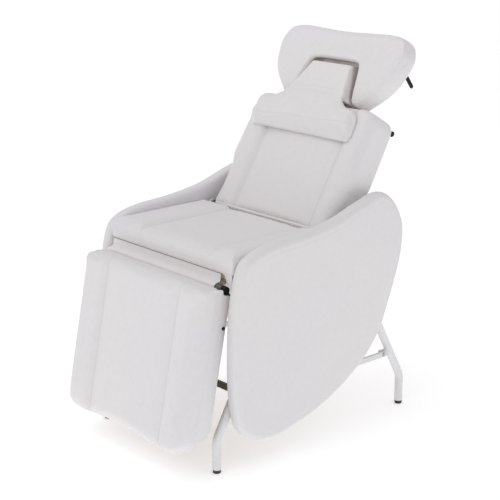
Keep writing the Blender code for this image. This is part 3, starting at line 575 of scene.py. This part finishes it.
def noise_at(add, tree, place, scale, detail, rough=0.5):
    made = add("ShaderNodeTexNoise", Scale=scale, Detail=detail, Roughness=rough)
    tree.links.new(place.outputs["Object"], made.inputs["Vector"])
    return made.outputs["Fac"]


def vinyl_look(name, lift=1.0):
    """Soft white vinyl: fine grain, two close tones, darker stitching with painted shade along its seams, and
    painted shade in hollows.

    lift makes it lighter; the strip's copy uses it as painted light.
    """
    look, tree, shader, place, add = node_kit(name)
    warm = [lift * v for v in (0.815, 0.790, 0.780)]
    cool = [lift * v for v in (0.795, 0.775, 0.790)]
    broad = noise_at(add, tree, place, scale=2.6, detail=4.0)
    colour = mix_colours(add, tree, range_of(add, tree, broad, 0.0, 1.0, 0.35, 0.65), warm, cool)
    mottle = noise_at(add, tree, place, scale=55.0, detail=4.0)
    patches = range_of(add, tree, mottle, 0.0, 1.0, 0.45, 0.75)
    colour = lay_over(add, tree, colour, patches, (0.975, 0.973, 0.968))
    # Seam lines darken a little: the stitching's colour, partly painted shade in the seam
    seam = add("ShaderNodeAttribute", attribute_name="crease")
    stitching_and_seam_shade = range_of(add, tree, seam.outputs["Fac"], 0.0, 0.75)
    colour = lay_over(add, tree, colour, stitching_and_seam_shade, (0.90, 0.885, 0.86))
    # Painted shade: a dark brown where a pad marks its hollows, such as the headrest's notch walls
    hollow = add("ShaderNodeAttribute", attribute_name="hollow")
    colour = lay_over(add, tree, colour, hollow.outputs["Fac"], (0.36, 0.31, 0.25))
    tree.links.new(colour, shader.inputs["Base Color"])
    tree.links.new(range_of(add, tree, mottle, 0.34, 0.46), shader.inputs["Roughness"])
    grain = add("ShaderNodeTexVoronoi", Scale=620.0)
    tree.links.new(place.outputs["Object"], grain.inputs["Vector"])
    pores = noise_at(add, tree, place, scale=1500.0, detail=2.0)
    creases = noise_at(add, tree, place, scale=120.0, detail=5.0, rough=0.6)
    bump_chain(add, tree, shader, (
        (grain.outputs["Distance"], 0.20, 0.0002),
        (pores, 0.10, 0.0001),
        (creases, 0.06, 0.0002),
    ))
    shader.inputs["Specular IOR Level"].default_value = 0.42
    shader.inputs["Sheen Weight"].default_value = 0.06
    shader.inputs["Sheen Roughness"].default_value = 0.4
    return look


def coated_look(name, first, second, worn, roughness, coat=0.0, metallic=0.0, peel=300.0, gloss=0.5):
    """Paint, plastic or plated metal: two close tones, worn edges, uneven gloss and a surface texture."""
    look, tree, shader, place, add = node_kit(name)
    broad = noise_at(add, tree, place, scale=14.0, detail=5.0)
    colour = mix_colours(add, tree, range_of(add, tree, broad, 0.0, 1.0, 0.3, 0.7), first, second)
    geometry = add("ShaderNodeNewGeometry")
    edges = range_of(add, tree, geometry.outputs["Pointiness"], 0.0, 0.55, 0.535, 0.62)
    colour = lay_over(add, tree, colour, edges, worn, "MIX")
    tree.links.new(colour, shader.inputs["Base Color"])
    fine = noise_at(add, tree, place, scale=90.0, detail=4.0)
    tree.links.new(range_of(add, tree, fine, roughness * 0.85, roughness * 1.2), shader.inputs["Roughness"])
    texture = noise_at(add, tree, place, scale=peel, detail=2.0)
    bump_chain(add, tree, shader, ((texture, 0.12, 0.0004),))
    shader.inputs["Metallic"].default_value = metallic
    shader.inputs["Specular IOR Level"].default_value = gloss
    shader.inputs["Coat Weight"].default_value = coat
    shader.inputs["Coat Roughness"].default_value = 0.12
    return look


def board_look(name):
    """Plywood with long grain, lighter and darker along it."""
    look, tree, shader, place, add = node_kit(name)
    stretch = add("ShaderNodeMapping")
    stretch.inputs["Scale"].default_value = (2.0, 14.0, 14.0)
    tree.links.new(place.outputs["Object"], stretch.inputs["Vector"])
    pattern = add("ShaderNodeTexNoise", Scale=6.0, Detail=7.0, Roughness=0.62, Distortion=1.4)
    tree.links.new(stretch.outputs[0], pattern.inputs["Vector"])
    grain = pattern.outputs["Fac"]
    share = range_of(add, tree, grain, 0.0, 1.0, 0.3, 0.7)
    colour = mix_colours(add, tree, share, (0.56, 0.42, 0.26), (0.40, 0.28, 0.16))
    tree.links.new(colour, shader.inputs["Base Color"])
    tree.links.new(range_of(add, tree, grain, 0.6, 0.8), shader.inputs["Roughness"])
    fibre = noise_at(add, tree, place, scale=240.0, detail=3.0)
    bump_chain(add, tree, shader, ((grain, 0.25, 0.0008), (fibre, 0.15, 0.0003)))
    return look


def floor_look():
    look, tree, shader, place, add = node_kit("studio_floor")
    broad = noise_at(add, tree, place, scale=0.8, detail=2.0)
    colour = mix_colours(add, tree, broad, (0.93, 0.93, 0.93), (0.95, 0.95, 0.95))
    tree.links.new(colour, shader.inputs["Base Color"])
    shader.inputs["Roughness"].default_value = 0.9
    shader.inputs["Specular IOR Level"].default_value = 0.1
    shader.inputs["Emission Color"].default_value = (1.0, 1.0, 1.0, 1.0)
    shader.inputs["Emission Strength"].default_value = 0.42
    return look


VINYL = vinyl_look("white_vinyl_cover")
# A lighter copy of the vinyl for the strip: painted light, against the shade under the seat's edge
STRIP_VINYL_PAINTED_LIGHTER = vinyl_look("white_vinyl_strip_painted_lighter", lift=1.12)
PAINT = coated_look(
    "white_powder_coat", (0.78, 0.78, 0.785), (0.82, 0.82, 0.825), worn=(0.72, 0.72, 0.72),
    roughness=0.26, coat=0.5,
)
DARK = coated_look(
    "dark_satin_steel", (0.085, 0.078, 0.066), (0.125, 0.115, 0.095), worn=(0.30, 0.28, 0.25),
    roughness=0.42, metallic=0.6,
)
ZINC = coated_look(
    "zinc_plate", (0.48, 0.48, 0.46), (0.58, 0.58, 0.57), worn=(0.66, 0.66, 0.65),
    roughness=0.34, metallic=1.0, peel=700.0,
)
CHROME = coated_look(
    "bright_chrome", (0.72, 0.72, 0.73), (0.78, 0.78, 0.79), worn=(0.82, 0.82, 0.82),
    roughness=0.09, metallic=1.0, peel=40.0,
)
PLASTIC = coated_look(
    "black_moulding", (0.008, 0.008, 0.009), (0.013, 0.013, 0.013), worn=(0.03, 0.03, 0.03),
    roughness=0.50, peel=900.0, gloss=0.15,
)
RUBBER = coated_look(
    "black_rubber_foot", (0.035, 0.035, 0.034), (0.055, 0.054, 0.052), worn=(0.09, 0.09, 0.09),
    roughness=0.75, peel=500.0,
)
BOARD = board_look("raw_plywood")

SLOT_LOOKS = {
    "white_vinyl": VINYL, "white_paint": PAINT, "dark_steel": DARK, "black_plastic": PLASTIC,
    "black_rubber": RUBBER, "chrome": CHROME, "zinc": ZINC, "board": BOARD,
}


def dress_cad_nodes():
    """Gives every carried-over CAD node the finish of its slot."""
    for part in frame["record"]["subparts"]:
        obj = nodes[part["node"]]
        if not obj.material_slots:
            obj.data.materials.append(None)
        for material_slot in obj.material_slots:
            material_slot.material = SLOT_LOOKS[part["material_slot"]]


# ---------------------------------------------------------------- the pads

def wear_vinyl(piece, body, place, look=VINYL):
    """Puts a piece of the cover in its place on a body."""
    finish_mesh(piece, place, look)
    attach(piece, body)


def cover(pad, node, body, place):
    """Puts a pad in its place on a body, where it stands for a CAD node."""
    wear_vinyl(pad, body, place)
    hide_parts(node)


def sink_channel(pad, y_range, seams, hollow, crown, bolster):
    """Sinks the centre panel between the seams by hollow, less its own crown.

    Beyond each seam the bolster rises over its own width.
    """
    middle = (seams[0] + seams[1]) / 2
    half = (seams[1] - seams[0]) / 2

    def relief(spots):
        from_middle = np.abs(spots[:, 0] - middle)
        centre = hollow - crown * np.clip(1.0 - (from_middle / half) ** 2, 0.0, 1.0)
        rise = hollow * (1.0 - ease(0.0, bolster, from_middle - half))
        return np.where(from_middle - half < 0.0, centre, rise)

    sink(pad, y_range, relief)


def held(co, y_range, seams):
    """Freedom of each vertex: none towards the rear, little on the seams, and full between them in front."""
    front, rear = y_range
    share = 1.0 - ease(0.25, 0.70, (co[:, 1] - front) / (rear - front))
    for x in seams:
        share *= 0.15 + 0.85 * ease(0.0, 0.022, np.abs(co[:, 0] - x))
    return share


def stitch(pad, y_range, seams, ends, depth, seed):
    """Refines a pad and sews its two straight seams, which run from end to end of it."""
    subdivide(pad)
    cuts = (-0.0035, -0.0013, 0.0, 0.0013, 0.0035)
    cut_lines(pad, [((x + offset, 0.0, 0.0), (1.0, 0.0, 0.0)) for x in seams for offset in cuts])
    lines = [([(x, ends[0]), (x, ends[1])], depth, SEAM_HALF_WIDTH, SEAM_PUCKER) for x in seams]
    sew(pad, y_range, lines, seed)


def make_seat():
    outline = rounded(SEAT_OUTLINE, SEAT_CORNERS)

    def front_radius(spots):
        """14 mm at the sides and rear, growing to 38 mm along the front edge."""
        to_side = 0.2925 - np.abs(spots[:, 0])
        to_front = spots[:, 1] + 0.3575
        return 0.014 + 0.024 * ease(-0.012, 0.020, to_side - to_front)

    pad = slab("seat_pad", outline, SEAT_Y, front_radius, rear_radius=0.006, voxel=0.0055)
    seams = (SEAM_LEFT + 0.008, SEAM_RIGHT + 0.004)
    sink_channel(pad, SEAT_Y, seams, hollow=0.0085, crown=0.003, bolster=0.019)
    inflate(pad, held(coords_of(pad.data), SEAT_Y, seams), cap=0.003)
    stitch(pad, SEAT_Y, seams, ends=(-0.359, 0.033), depth=0.0020, seed=3.1)
    cover(pad, "seat_cushion", "base", SEAT)


def make_back():
    outline = rounded(BACK_OUTLINE, BACK_CORNERS)

    def front_radius(spots):
        """16 mm at the lower edge, 28 mm up the sides and 24 mm at the top."""
        lower = ease(0.004, 0.075, spots[:, 1])
        upper = ease(0.360, 0.410, spots[:, 1])
        return 0.016 + 0.012 * lower - 0.004 * upper

    pad = slab("back_pad", outline, BACK_Y, front_radius, rear_radius=0.016, voxel=0.0055)
    seams = (SEAM_LEFT, SEAM_RIGHT + 0.006)
    sink_channel(pad, BACK_Y, seams, hollow=0.0095, crown=0.003, bolster=0.019)
    pocket(pad, BACK_Y, outline, BACK_BOARD)
    inflate(pad, held(coords_of(pad.data), BACK_Y, seams), cap=0.004)
    stitch(pad, BACK_Y, seams, ends=(0.004, 0.4205), depth=0.0018, seed=11.7)
    cover(pad, "back_cushion", "backrest", BACK)


def bow_ends(pad):
    """Raises the middle of the footrest's top edge, and arches its lower edge."""
    top_rise = 0.0030
    arch_rise = 0.010
    co = coords_of(pad.data)
    along_top = bell(co[:, 1], -0.056, 0.020) * ease(-0.030, 0.002, co[:, 2])
    co[:, 2] += top_rise * along_top * (1.0 - ease(0.235, 0.283, np.abs(co[:, 0])))
    co[:, 2] += arch_rise * bell(co[:, 0], -0.02, 0.11) * (1.0 - ease(-0.497, -0.380, co[:, 2]))
    set_coords(pad.data, co)


def make_footrest():
    outline = grown(rounded(FOOT_OUTLINE, FOOT_CORNERS), 0.0020)

    def front_radius(spots):
        """24 mm, falling to 16 mm at the top."""
        return 0.024 - 0.008 * ease(-0.050, -0.004, spots[:, 1])

    pad = slab("footrest_pad", outline, FOOT_Y, front_radius, rear_radius=0.006, voxel=0.0055)
    seams = (SEAM_LEFT, SEAM_RIGHT + 0.004)
    sink_channel(pad, FOOT_Y, seams, hollow=0.0085, crown=0.003, bolster=0.018)
    bow_ends(pad)
    inflate(pad, held(coords_of(pad.data), FOOT_Y, seams), cap=0.004)
    stitch(pad, FOOT_Y, seams, ends=(-0.497, 0.004), depth=0.0018, seed=23.9)
    cover(pad, "footrest_cushion", "footrest", FOOT)


def make_head():
    outline = grown(smooth_closed(mirrored(HEAD_HALF), 5), 0.0035)
    outline = [(x - LEFT_WING_EXTRA * float(ease(0.18, 0.27, -x)), z) for x, z in outline]

    def front_radius(spots):
        """13 mm, falling to 7 mm round the notch for the pillow."""
        x, z = np.abs(spots[:, 0]), spots[:, 1]
        notch = (1.0 - ease(0.130, 0.165, x)) * (1.0 - ease(0.600, 0.640, z))
        return 0.013 - 0.006 * notch

    pad = slab("head_pad", outline, HEAD_Y, front_radius, rear_radius=0.012, voxel=0.0045)
    pocket(pad, HEAD_Y, outline, HEAD_BOARD)
    co = coords_of(pad.data)
    free = 1.0 - ease(0.3, 0.7, (co[:, 1] - HEAD_Y[0]) / (HEAD_Y[1] - HEAD_Y[0]))
    inflate(pad, free, cap=0.004)
    subdivide(pad)

    # The face dips towards the notch, and a sewn ridge runs round its edge
    co = coords_of(pad.data)
    depth = inside_distance(co[:, [0, 2]], outline)
    dip = 0.0045 * (1.0 - ease(0.100, 0.170, np.abs(co[:, 0]))) * bell(co[:, 2], 0.597, 0.020)
    ridge = 0.0016 * bell(depth, 0.0075, 0.0030)
    co[:, 1] += front_share(co, HEAD_Y) * (dip - ridge)
    set_coords(pad.data, co)
    sew(pad, HEAD_Y, (), seed=37.0)

    # Painted shade: the notch's walls, where little light reaches, get a dark brown colour
    co = coords_of(pad.data)
    walls = (1.0 - ease(0.148, 0.160, np.abs(co[:, 0]))) * (1.0 - ease(0.584, 0.592, co[:, 2]))
    mark(pad.data, "hollow", walls * ease(0.008, 0.016, co[:, 1]))
    cover(pad, "head_cushion", "headrest", BACK)


def weld(mesh):
    """Joins the CAD mesh's doubled vertices."""
    bm = bmesh.new()
    bm.from_mesh(mesh)
    bmesh.ops.remove_doubles(bm, verts=bm.verts, dist=2e-5)
    bm.to_mesh(mesh)
    bm.free()


def swell_plug(pad):
    """Widens and lengthens the pillow's deep part, which fills the headrest's notch."""
    top_rise, foot_drop, face_rise = 0.012, 0.0065, 0.0035
    co = coords_of(pad.data)
    deep = (co[:, 1] > 0.0) * (co[:, 2] > 0.40)
    flare = 0.009 + 0.024 * (1.0 - ease(0.430, 0.470, co[:, 2]))
    co[:, 0] += np.sign(co[:, 0]) * flare * deep * ease(0.006, 0.012, co[:, 1])
    co[:, 2] += top_rise * deep * (co[:, 2] > 0.54) - foot_drop * deep * (co[:, 2] < 0.45)
    co[:, 2] += face_rise * (1.0 - deep) * ease(0.500, 0.560, co[:, 2])
    set_coords(pad.data, co)


def shape_band(pad):
    """Makes the pillow's band a wedge: thin at its top, thick at its fold, and tapering below it."""
    band_rear, band_top = -0.0215, 0.4400
    thin, swelling, thick = 0.0125, 0.0285, 0.0410
    taper = 0.65
    co = coords_of(pad.data)
    fold = 0.3420 + 0.010 * (co[:, 0] / 0.22)
    upper = thin + swelling * np.clip(1.0 - (co[:, 2] - fold) / (band_top - fold), 0.0, 1.0)
    lower = thick - taper * (fold - co[:, 2])
    shaped = np.where(co[:, 2] > fold, np.minimum(co[:, 1], band_rear - upper), band_rear - lower)
    ends = 1.0 - ease(0.205, 0.2185, np.abs(co[:, 0]))
    share = (co[:, 1] < -0.0250) * (co[:, 2] < band_top) * ends
    co[:, 1] = co[:, 1] * (1.0 - share) + shaped * share
    set_coords(pad.data, co)


def soften_above_fold(pad):
    """Smooths the pillow's front above the crisp fold of its band, and gives the new positions."""
    crisp = coords_of(pad.data)
    smooth_out(pad, 8)
    upper = (ease(0.365, 0.395, crisp[:, 2]) * (crisp[:, 1] < -0.010))[:, None]
    co = crisp * (1.0 - upper) + coords_of(pad.data) * upper
    set_coords(pad.data, co)
    return co


def make_pillow():
    pad = new_object("neck_pillow_cover", nodes["neck_pillow"].data.copy())
    weld(pad.data)
    pad.data.transform(BACK.inverted())
    swell_plug(pad)
    remesh(pad, 0.0042)
    smooth_out(pad, 4)
    shape_band(pad)
    remesh(pad, 0.0036)
    smooth_out(pad, 1)
    co = soften_above_fold(pad)
    inflate(pad, 1.0 - ease(-0.030, -0.020, co[:, 1]), cap=0.003)
    subdivide(pad)
    fold_line = [(-0.225, 0.3318), (0.225, 0.3522)]
    sew(pad, (-0.060, 0.0), ((fold_line, 0.0008, 0.0030, 0.0003),), seed=41.0)
    co = coords_of(pad.data)
    # Painted shade, at half strength, on the pillow's deep part that sits in the headrest's notch
    mark(pad.data, "hollow", 0.5 * ease(0.000, 0.008, co[:, 1]) * (co[:, 2] > 0.425))
    cover(pad, "neck_pillow", "neck_pillow", BACK)


def make_panel(side_name, side):
    outline = grown([(side * y, z) for y, z in smooth_closed(PANEL_OUTLINE, 6)], 0.0025)
    y_range = (-PANEL_X[1], -PANEL_X[0])
    pad = slab(f"side_panel_cover_{side_name}", outline, y_range, 0.019, rear_radius=0.014, voxel=0.0065)
    co = coords_of(pad.data)
    crown = 0.004 * ease(0.02, 0.22, inside_distance(co[:, [0, 2]], outline))
    co[:, 1] -= crown * front_share(co, y_range)
    set_coords(pad.data, co)
    subdivide(pad)

    # A shallow groove runs round the face, where the foam ends
    co = coords_of(pad.data)
    groove = 0.0009 * bell(inside_distance(co[:, [0, 2]], outline), 0.026, 0.004)
    co[:, 1] += groove * front_share(co, y_range)
    set_coords(pad.data, co)
    sew(pad, y_range, (), seed=50.0 + side, waves=0.0005)
    cover(pad, f"side_panel_pad_{side_name}", "base", panel_frame(side))


def make_seat_flap():
    """The cover's corner, drawn down over the right end of the seat board."""
    outline = (
        (0.246, 0.6115), (0.2610, 0.6065), (0.2700, 0.5870),
        (0.2745, 0.5790), (0.2925, 0.5790), (0.2925, 0.6140),
    )
    front, rear = -0.3562, -0.3508
    flap = bevelled("seat_corner_flap", outline, front, rear)
    wear_vinyl(flap, "base", Matrix.Translation((0.0, CENTRE_Y, 0.0)))


def strip_section(x):
    """The strip's outline at x: down its front and back up its rear.

    It wraps more closely at its left end, where the tube passes.
    """
    narrow = float(ease(0.2530, 0.2565, -x))
    radius = STRIP_RADIUS - 0.0011 * narrow
    axle = Vector(STRIP_AXLE)
    path = [Vector(spot) for spot in STRIP_DROP]
    path += [axle + radius * Vector((cos(angle), sin(angle))) for angle in np.radians(STRIP_ANGLES)]
    last = len(path) - 1
    front, rear = [], []
    for k, spot in enumerate(path):
        along = (path[min(k + 1, last)] - path[max(k - 1, 0)]).normalized()
        outward = Vector((along.y, -along.x))
        ripple = 0.0010 * noise.noise(Vector((x * 14.0, k * 0.45, 3.0))) * sin(pi * k / last)
        ripple *= 1.0 - narrow
        front.append((x, *(spot + outward * ripple)))
        rear.append((x, *(spot + outward * (ripple - STRIP_THICKNESS))))
    return front + rear[::-1]


def make_apron():
    """The strip under the seat's front edge, drawn down and forward over the footrest's axle."""
    left, right = STRIP_X
    sharp_angle = radians(50.0)
    bm = bmesh.new()
    rings = []
    for i in range(STRIP_COLUMNS + 1):
        x = left + (right - left) * i / STRIP_COLUMNS
        rings.append([bm.verts.new(spot) for spot in strip_section(x)])
    skin(bm, rings)
    strip = new_object("front_strip", mesh_of(bm, "front_strip"))
    # The strip wears the lighter copy of the vinyl: painted light against the shade under the seat
    wear_vinyl(strip, "base", Matrix.Translation((0.0, CENTRE_Y, 0.0)), STRIP_VINYL_PAINTED_LIGHTER)
    strip.data.set_sharp_from_angle(angle=sharp_angle)
    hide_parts("front_apron")


def roll_mesh(name, points, radius):
    """A tube along points, closed with rounded ends."""
    sides = 12
    end_sizes = (0.45, 0.80, 1.0)
    last = len(points) - 1
    bm = bmesh.new()
    rings = []
    for i, point in enumerate(points):
        ahead = Vector(points[min(i + 1, last)]) - Vector(points[max(i - 1, 0)])
        ahead.normalize()
        side = ahead.cross(Vector((0.0, 0.0, 1.0))).normalized()
        up = side.cross(ahead)
        size = radius * end_sizes[min(i, last - i, 2)]
        ring = []
        for k in range(sides):
            angle = 2 * pi * k / sides
            ring.append(bm.verts.new(Vector(point) + size * (side * cos(angle) + up * sin(angle))))
        rings.append(ring)
    skin(bm, rings)
    return mesh_of(bm, name)


def make_back_lip():
    """The rolled hem along the backrest's lower edge."""
    reach = 0.2500
    inner = reach - 0.022
    steps = 40
    radius = 0.0046
    points = [(-reach, -0.0120, 0.0070), (-reach + 0.004, -0.0160, 0.0062), (-reach + 0.012, -0.0190, 0.0058)]
    for k in range(steps + 1):
        x = -inner + 2 * inner * k / steps
        points.append((x, -0.0200 + 0.0003 * sin(k * 0.9), 0.0055 + 0.0002 * sin(k * 1.7)))
    points += [(reach - 0.012, -0.0190, 0.0058), (reach - 0.004, -0.0160, 0.0062), (reach, -0.0120, 0.0070)]
    lip = new_object("back_lower_hem", roll_mesh("back_lower_hem", points, radius))
    wear_vinyl(lip, "backrest", BACK)


def make_footrest_cheeks():
    """The cover's side flaps, which run back over the footrest's tubes."""
    corners = (
        (-0.074, -0.4560), (-0.010, -0.4560), (0.0135, -0.4260), (0.0135, -0.0150), (-0.0135, -0.0125),
        (-0.0180, 0.0030), (-0.070, 0.0030),
    )
    outline = rounded(corners, (0.010, 0.018, 0.030, 0.002, 0.004, 0.006, 0.012))
    inner, outer = 0.2774, 0.2840
    turn = Matrix(((0.0, 1.0, 0.0), (1.0, 0.0, 0.0), (0.0, 0.0, 1.0))).to_4x4()
    for name, side in SIDES:
        low, high = sorted((side * inner, side * outer))
        cheek = bevelled(f"footrest_cheek_{name}", outline, low, high)
        wear_vinyl(cheek, "footrest", FOOT @ turn)


# ---------------------------------------------------------------- small hardware

# Turned shells as (profile, sides, lobes, lobe depth). A profile is (distance along, radius) pairs, in units
# of the node's own length and radius.
WASHER = (((0.0, 1.16), (0.20, 1.16), (0.26, 1.08)), 40, 0, 0.0)
HEXAGON = (((0.22, 0.94), (0.27, 1.0), (0.80, 1.0), (1.0, 0.84)), 6, 0, 0.0)
DOME = (((0.0, 0.92), (0.06, 1.0), (0.72, 1.0), (0.86, 0.95), (0.95, 0.80), (1.0, 0.50)), 40, 0, 0.0)
RUBBER_FOOT = (((0.0, 0.84), (0.12, 0.96), (0.30, 1.0), (0.82, 1.0), (1.0, 0.93)), 40, 0, 0.0)
SCREW = (((0.0, 0.42), (0.80, 0.42)), 20, 0, 0.0)
COLLAR = (((0.790, 0.62), (0.825, 0.62), (0.845, 0.70)), 32, 0, 0.0)
KNOB = (
    ((0.835, 0.86), (0.850, 0.97), (0.880, 1.0), (0.965, 1.0), (0.988, 0.94), (1.0, 0.72)), 60, 5, 0.10,
)


def turn_shell(bm, spot, axis, profile, sides, lobes, lobe_depth):
    """A closed shell turned about an axis from (distance along it, radius) pairs, with lobes if asked."""
    across = axis.orthogonal().normalized()
    third = axis.cross(across)
    rings = []
    for along, radius in profile:
        ring = []
        for k in range(sides):
            angle = 2 * pi * k / sides
            size = radius * (1.0 - lobe_depth + lobe_depth * cos(lobes * angle))
            ring.append(bm.verts.new(spot + axis * along + size * (across * cos(angle) + third * sin(angle))))
        rings.append(ring)
    skin(bm, rings)


def add_hardware(node, body, slot, axis, shells):
    """Replaces a small CAD node by turned shells, which start at its end against the axis."""
    low, high = (Vector(corner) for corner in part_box(node))
    middle = (low + high) / 2
    half = (high - low) / 2
    axis = Vector(axis)
    length = 2 * abs(half.dot(axis))
    radius = max(half[k] for k in range(3) if axis[k] == 0.0)
    start = middle - axis * length / 2
    bm = bmesh.new()
    for profile, sides, lobes, lobe_depth in shells:
        scaled = [(along * length, size * radius) for along, size in profile]
        turn_shell(bm, start, axis, scaled, sides, lobes, lobe_depth)
    piece = new_object(f"{node}_turned", mesh_of(bm, f"{node}_turned"))
    finish_mesh(piece, Matrix.Identity(4), SLOT_LOOKS[slot])
    piece.data.set_sharp_from_angle(angle=radians(32.0))
    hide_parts(node)
    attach(piece, body)


def make_hardware():
    for name, side in SIDES:
        outward = (side, 0.0, 0.0)
        add_hardware(f"axle_cap_{name}", "base", "black_plastic", outward, (DOME,))
        add_hardware(f"footrest_bolt_{name}", "footrest", "black_plastic", outward, (WASHER, HEXAGON))
        add_hardware(f"clamp_knob_{name}", f"knob_{name}", "black_plastic", outward, (SCREW, COLLAR, KNOB))
        for end in ("front", "rear"):
            add_hardware(f"brace_bolt_{end}_{name}", "base", "zinc", outward, (WASHER, HEXAGON))
            add_hardware(f"glide_{end}_{name}", "base", "black_rubber", (0.0, 0.0, 1.0), (RUBBER_FOOT,))


# ---------------------------------------------------------------- studio

FLOOR_REACH = 40.0
WORLD_COLOUR = (0.97, 0.97, 1.0, 1.0)
WORLD_STRENGTH = 0.65

# Name, place, aim, size, power in watts, colour
LIGHTS = (
    ("top_soft", (-0.6, -0.8, 3.6), (0.0, 0.0, 0.4), (2.6, 2.6), 19.0, (1.0, 0.97, 0.94)),
    ("front_soft", (-1.2, -3.4, 1.5), (0.0, 0.0, 0.5), (2.4, 1.8), 3.0, (0.99, 0.98, 1.0)),
    ("lens_soft", (2.7, -3.3, 1.3), (0.0, 0.0, 0.5), (1.4, 1.4), 3.4, (0.99, 0.97, 1.0)),
)


def add_aimed(name, data, spot, target):
    """Adds a light or camera at a spot, pointing at a target."""
    obj = new_object(name, data)
    obj.location = spot
    obj.rotation_euler = (Vector(target) - Vector(spot)).to_track_quat("-Z", "Y").to_euler()
    return obj


def add_floor():
    corners = ((-1, -1), (1, -1), (1, 1), (-1, 1))
    mesh = bpy.data.meshes.new("floor")
    mesh.from_pydata([(FLOOR_REACH * x, FLOOR_REACH * y, 0.0) for x, y in corners], [], [(0, 1, 2, 3)])
    floor = new_object("floor", mesh)
    floor.data.materials.append(floor_look())


def make_studio():
    scene = bpy.context.scene
    optics = bpy.data.cameras.new("camera")
    optics.lens = CAMERA_LENS
    optics.sensor_width = CAMERA_SENSOR
    scene.camera = add_aimed("camera", optics, CAMERA_SPOT, CAMERA_TARGET)
    add_floor()

    world = bpy.data.worlds.new("studio")
    world.use_nodes = True
    backdrop = world.node_tree.nodes["Background"]
    backdrop.inputs["Color"].default_value = WORLD_COLOUR
    backdrop.inputs["Strength"].default_value = WORLD_STRENGTH
    scene.world = world

    for name, spot, target, size, power, colour in LIGHTS:
        light = bpy.data.lights.new(name, "AREA")
        light.shape = "RECTANGLE"
        light.size, light.size_y = size
        light.energy = power
        light.color = colour
        add_aimed(name, light, spot, target)
    scene.view_settings.view_transform = "Standard"
    scene.view_settings.look = "None"


make_studio()
dress_cad_nodes()
make_seat()
make_back()
make_footrest()
make_head()
make_pillow()
make_seat_flap()
make_apron()
make_back_lip()
make_footrest_cheeks()
make_hardware()
for panel_name, panel_side in SIDES:
    make_panel(panel_name, panel_side)
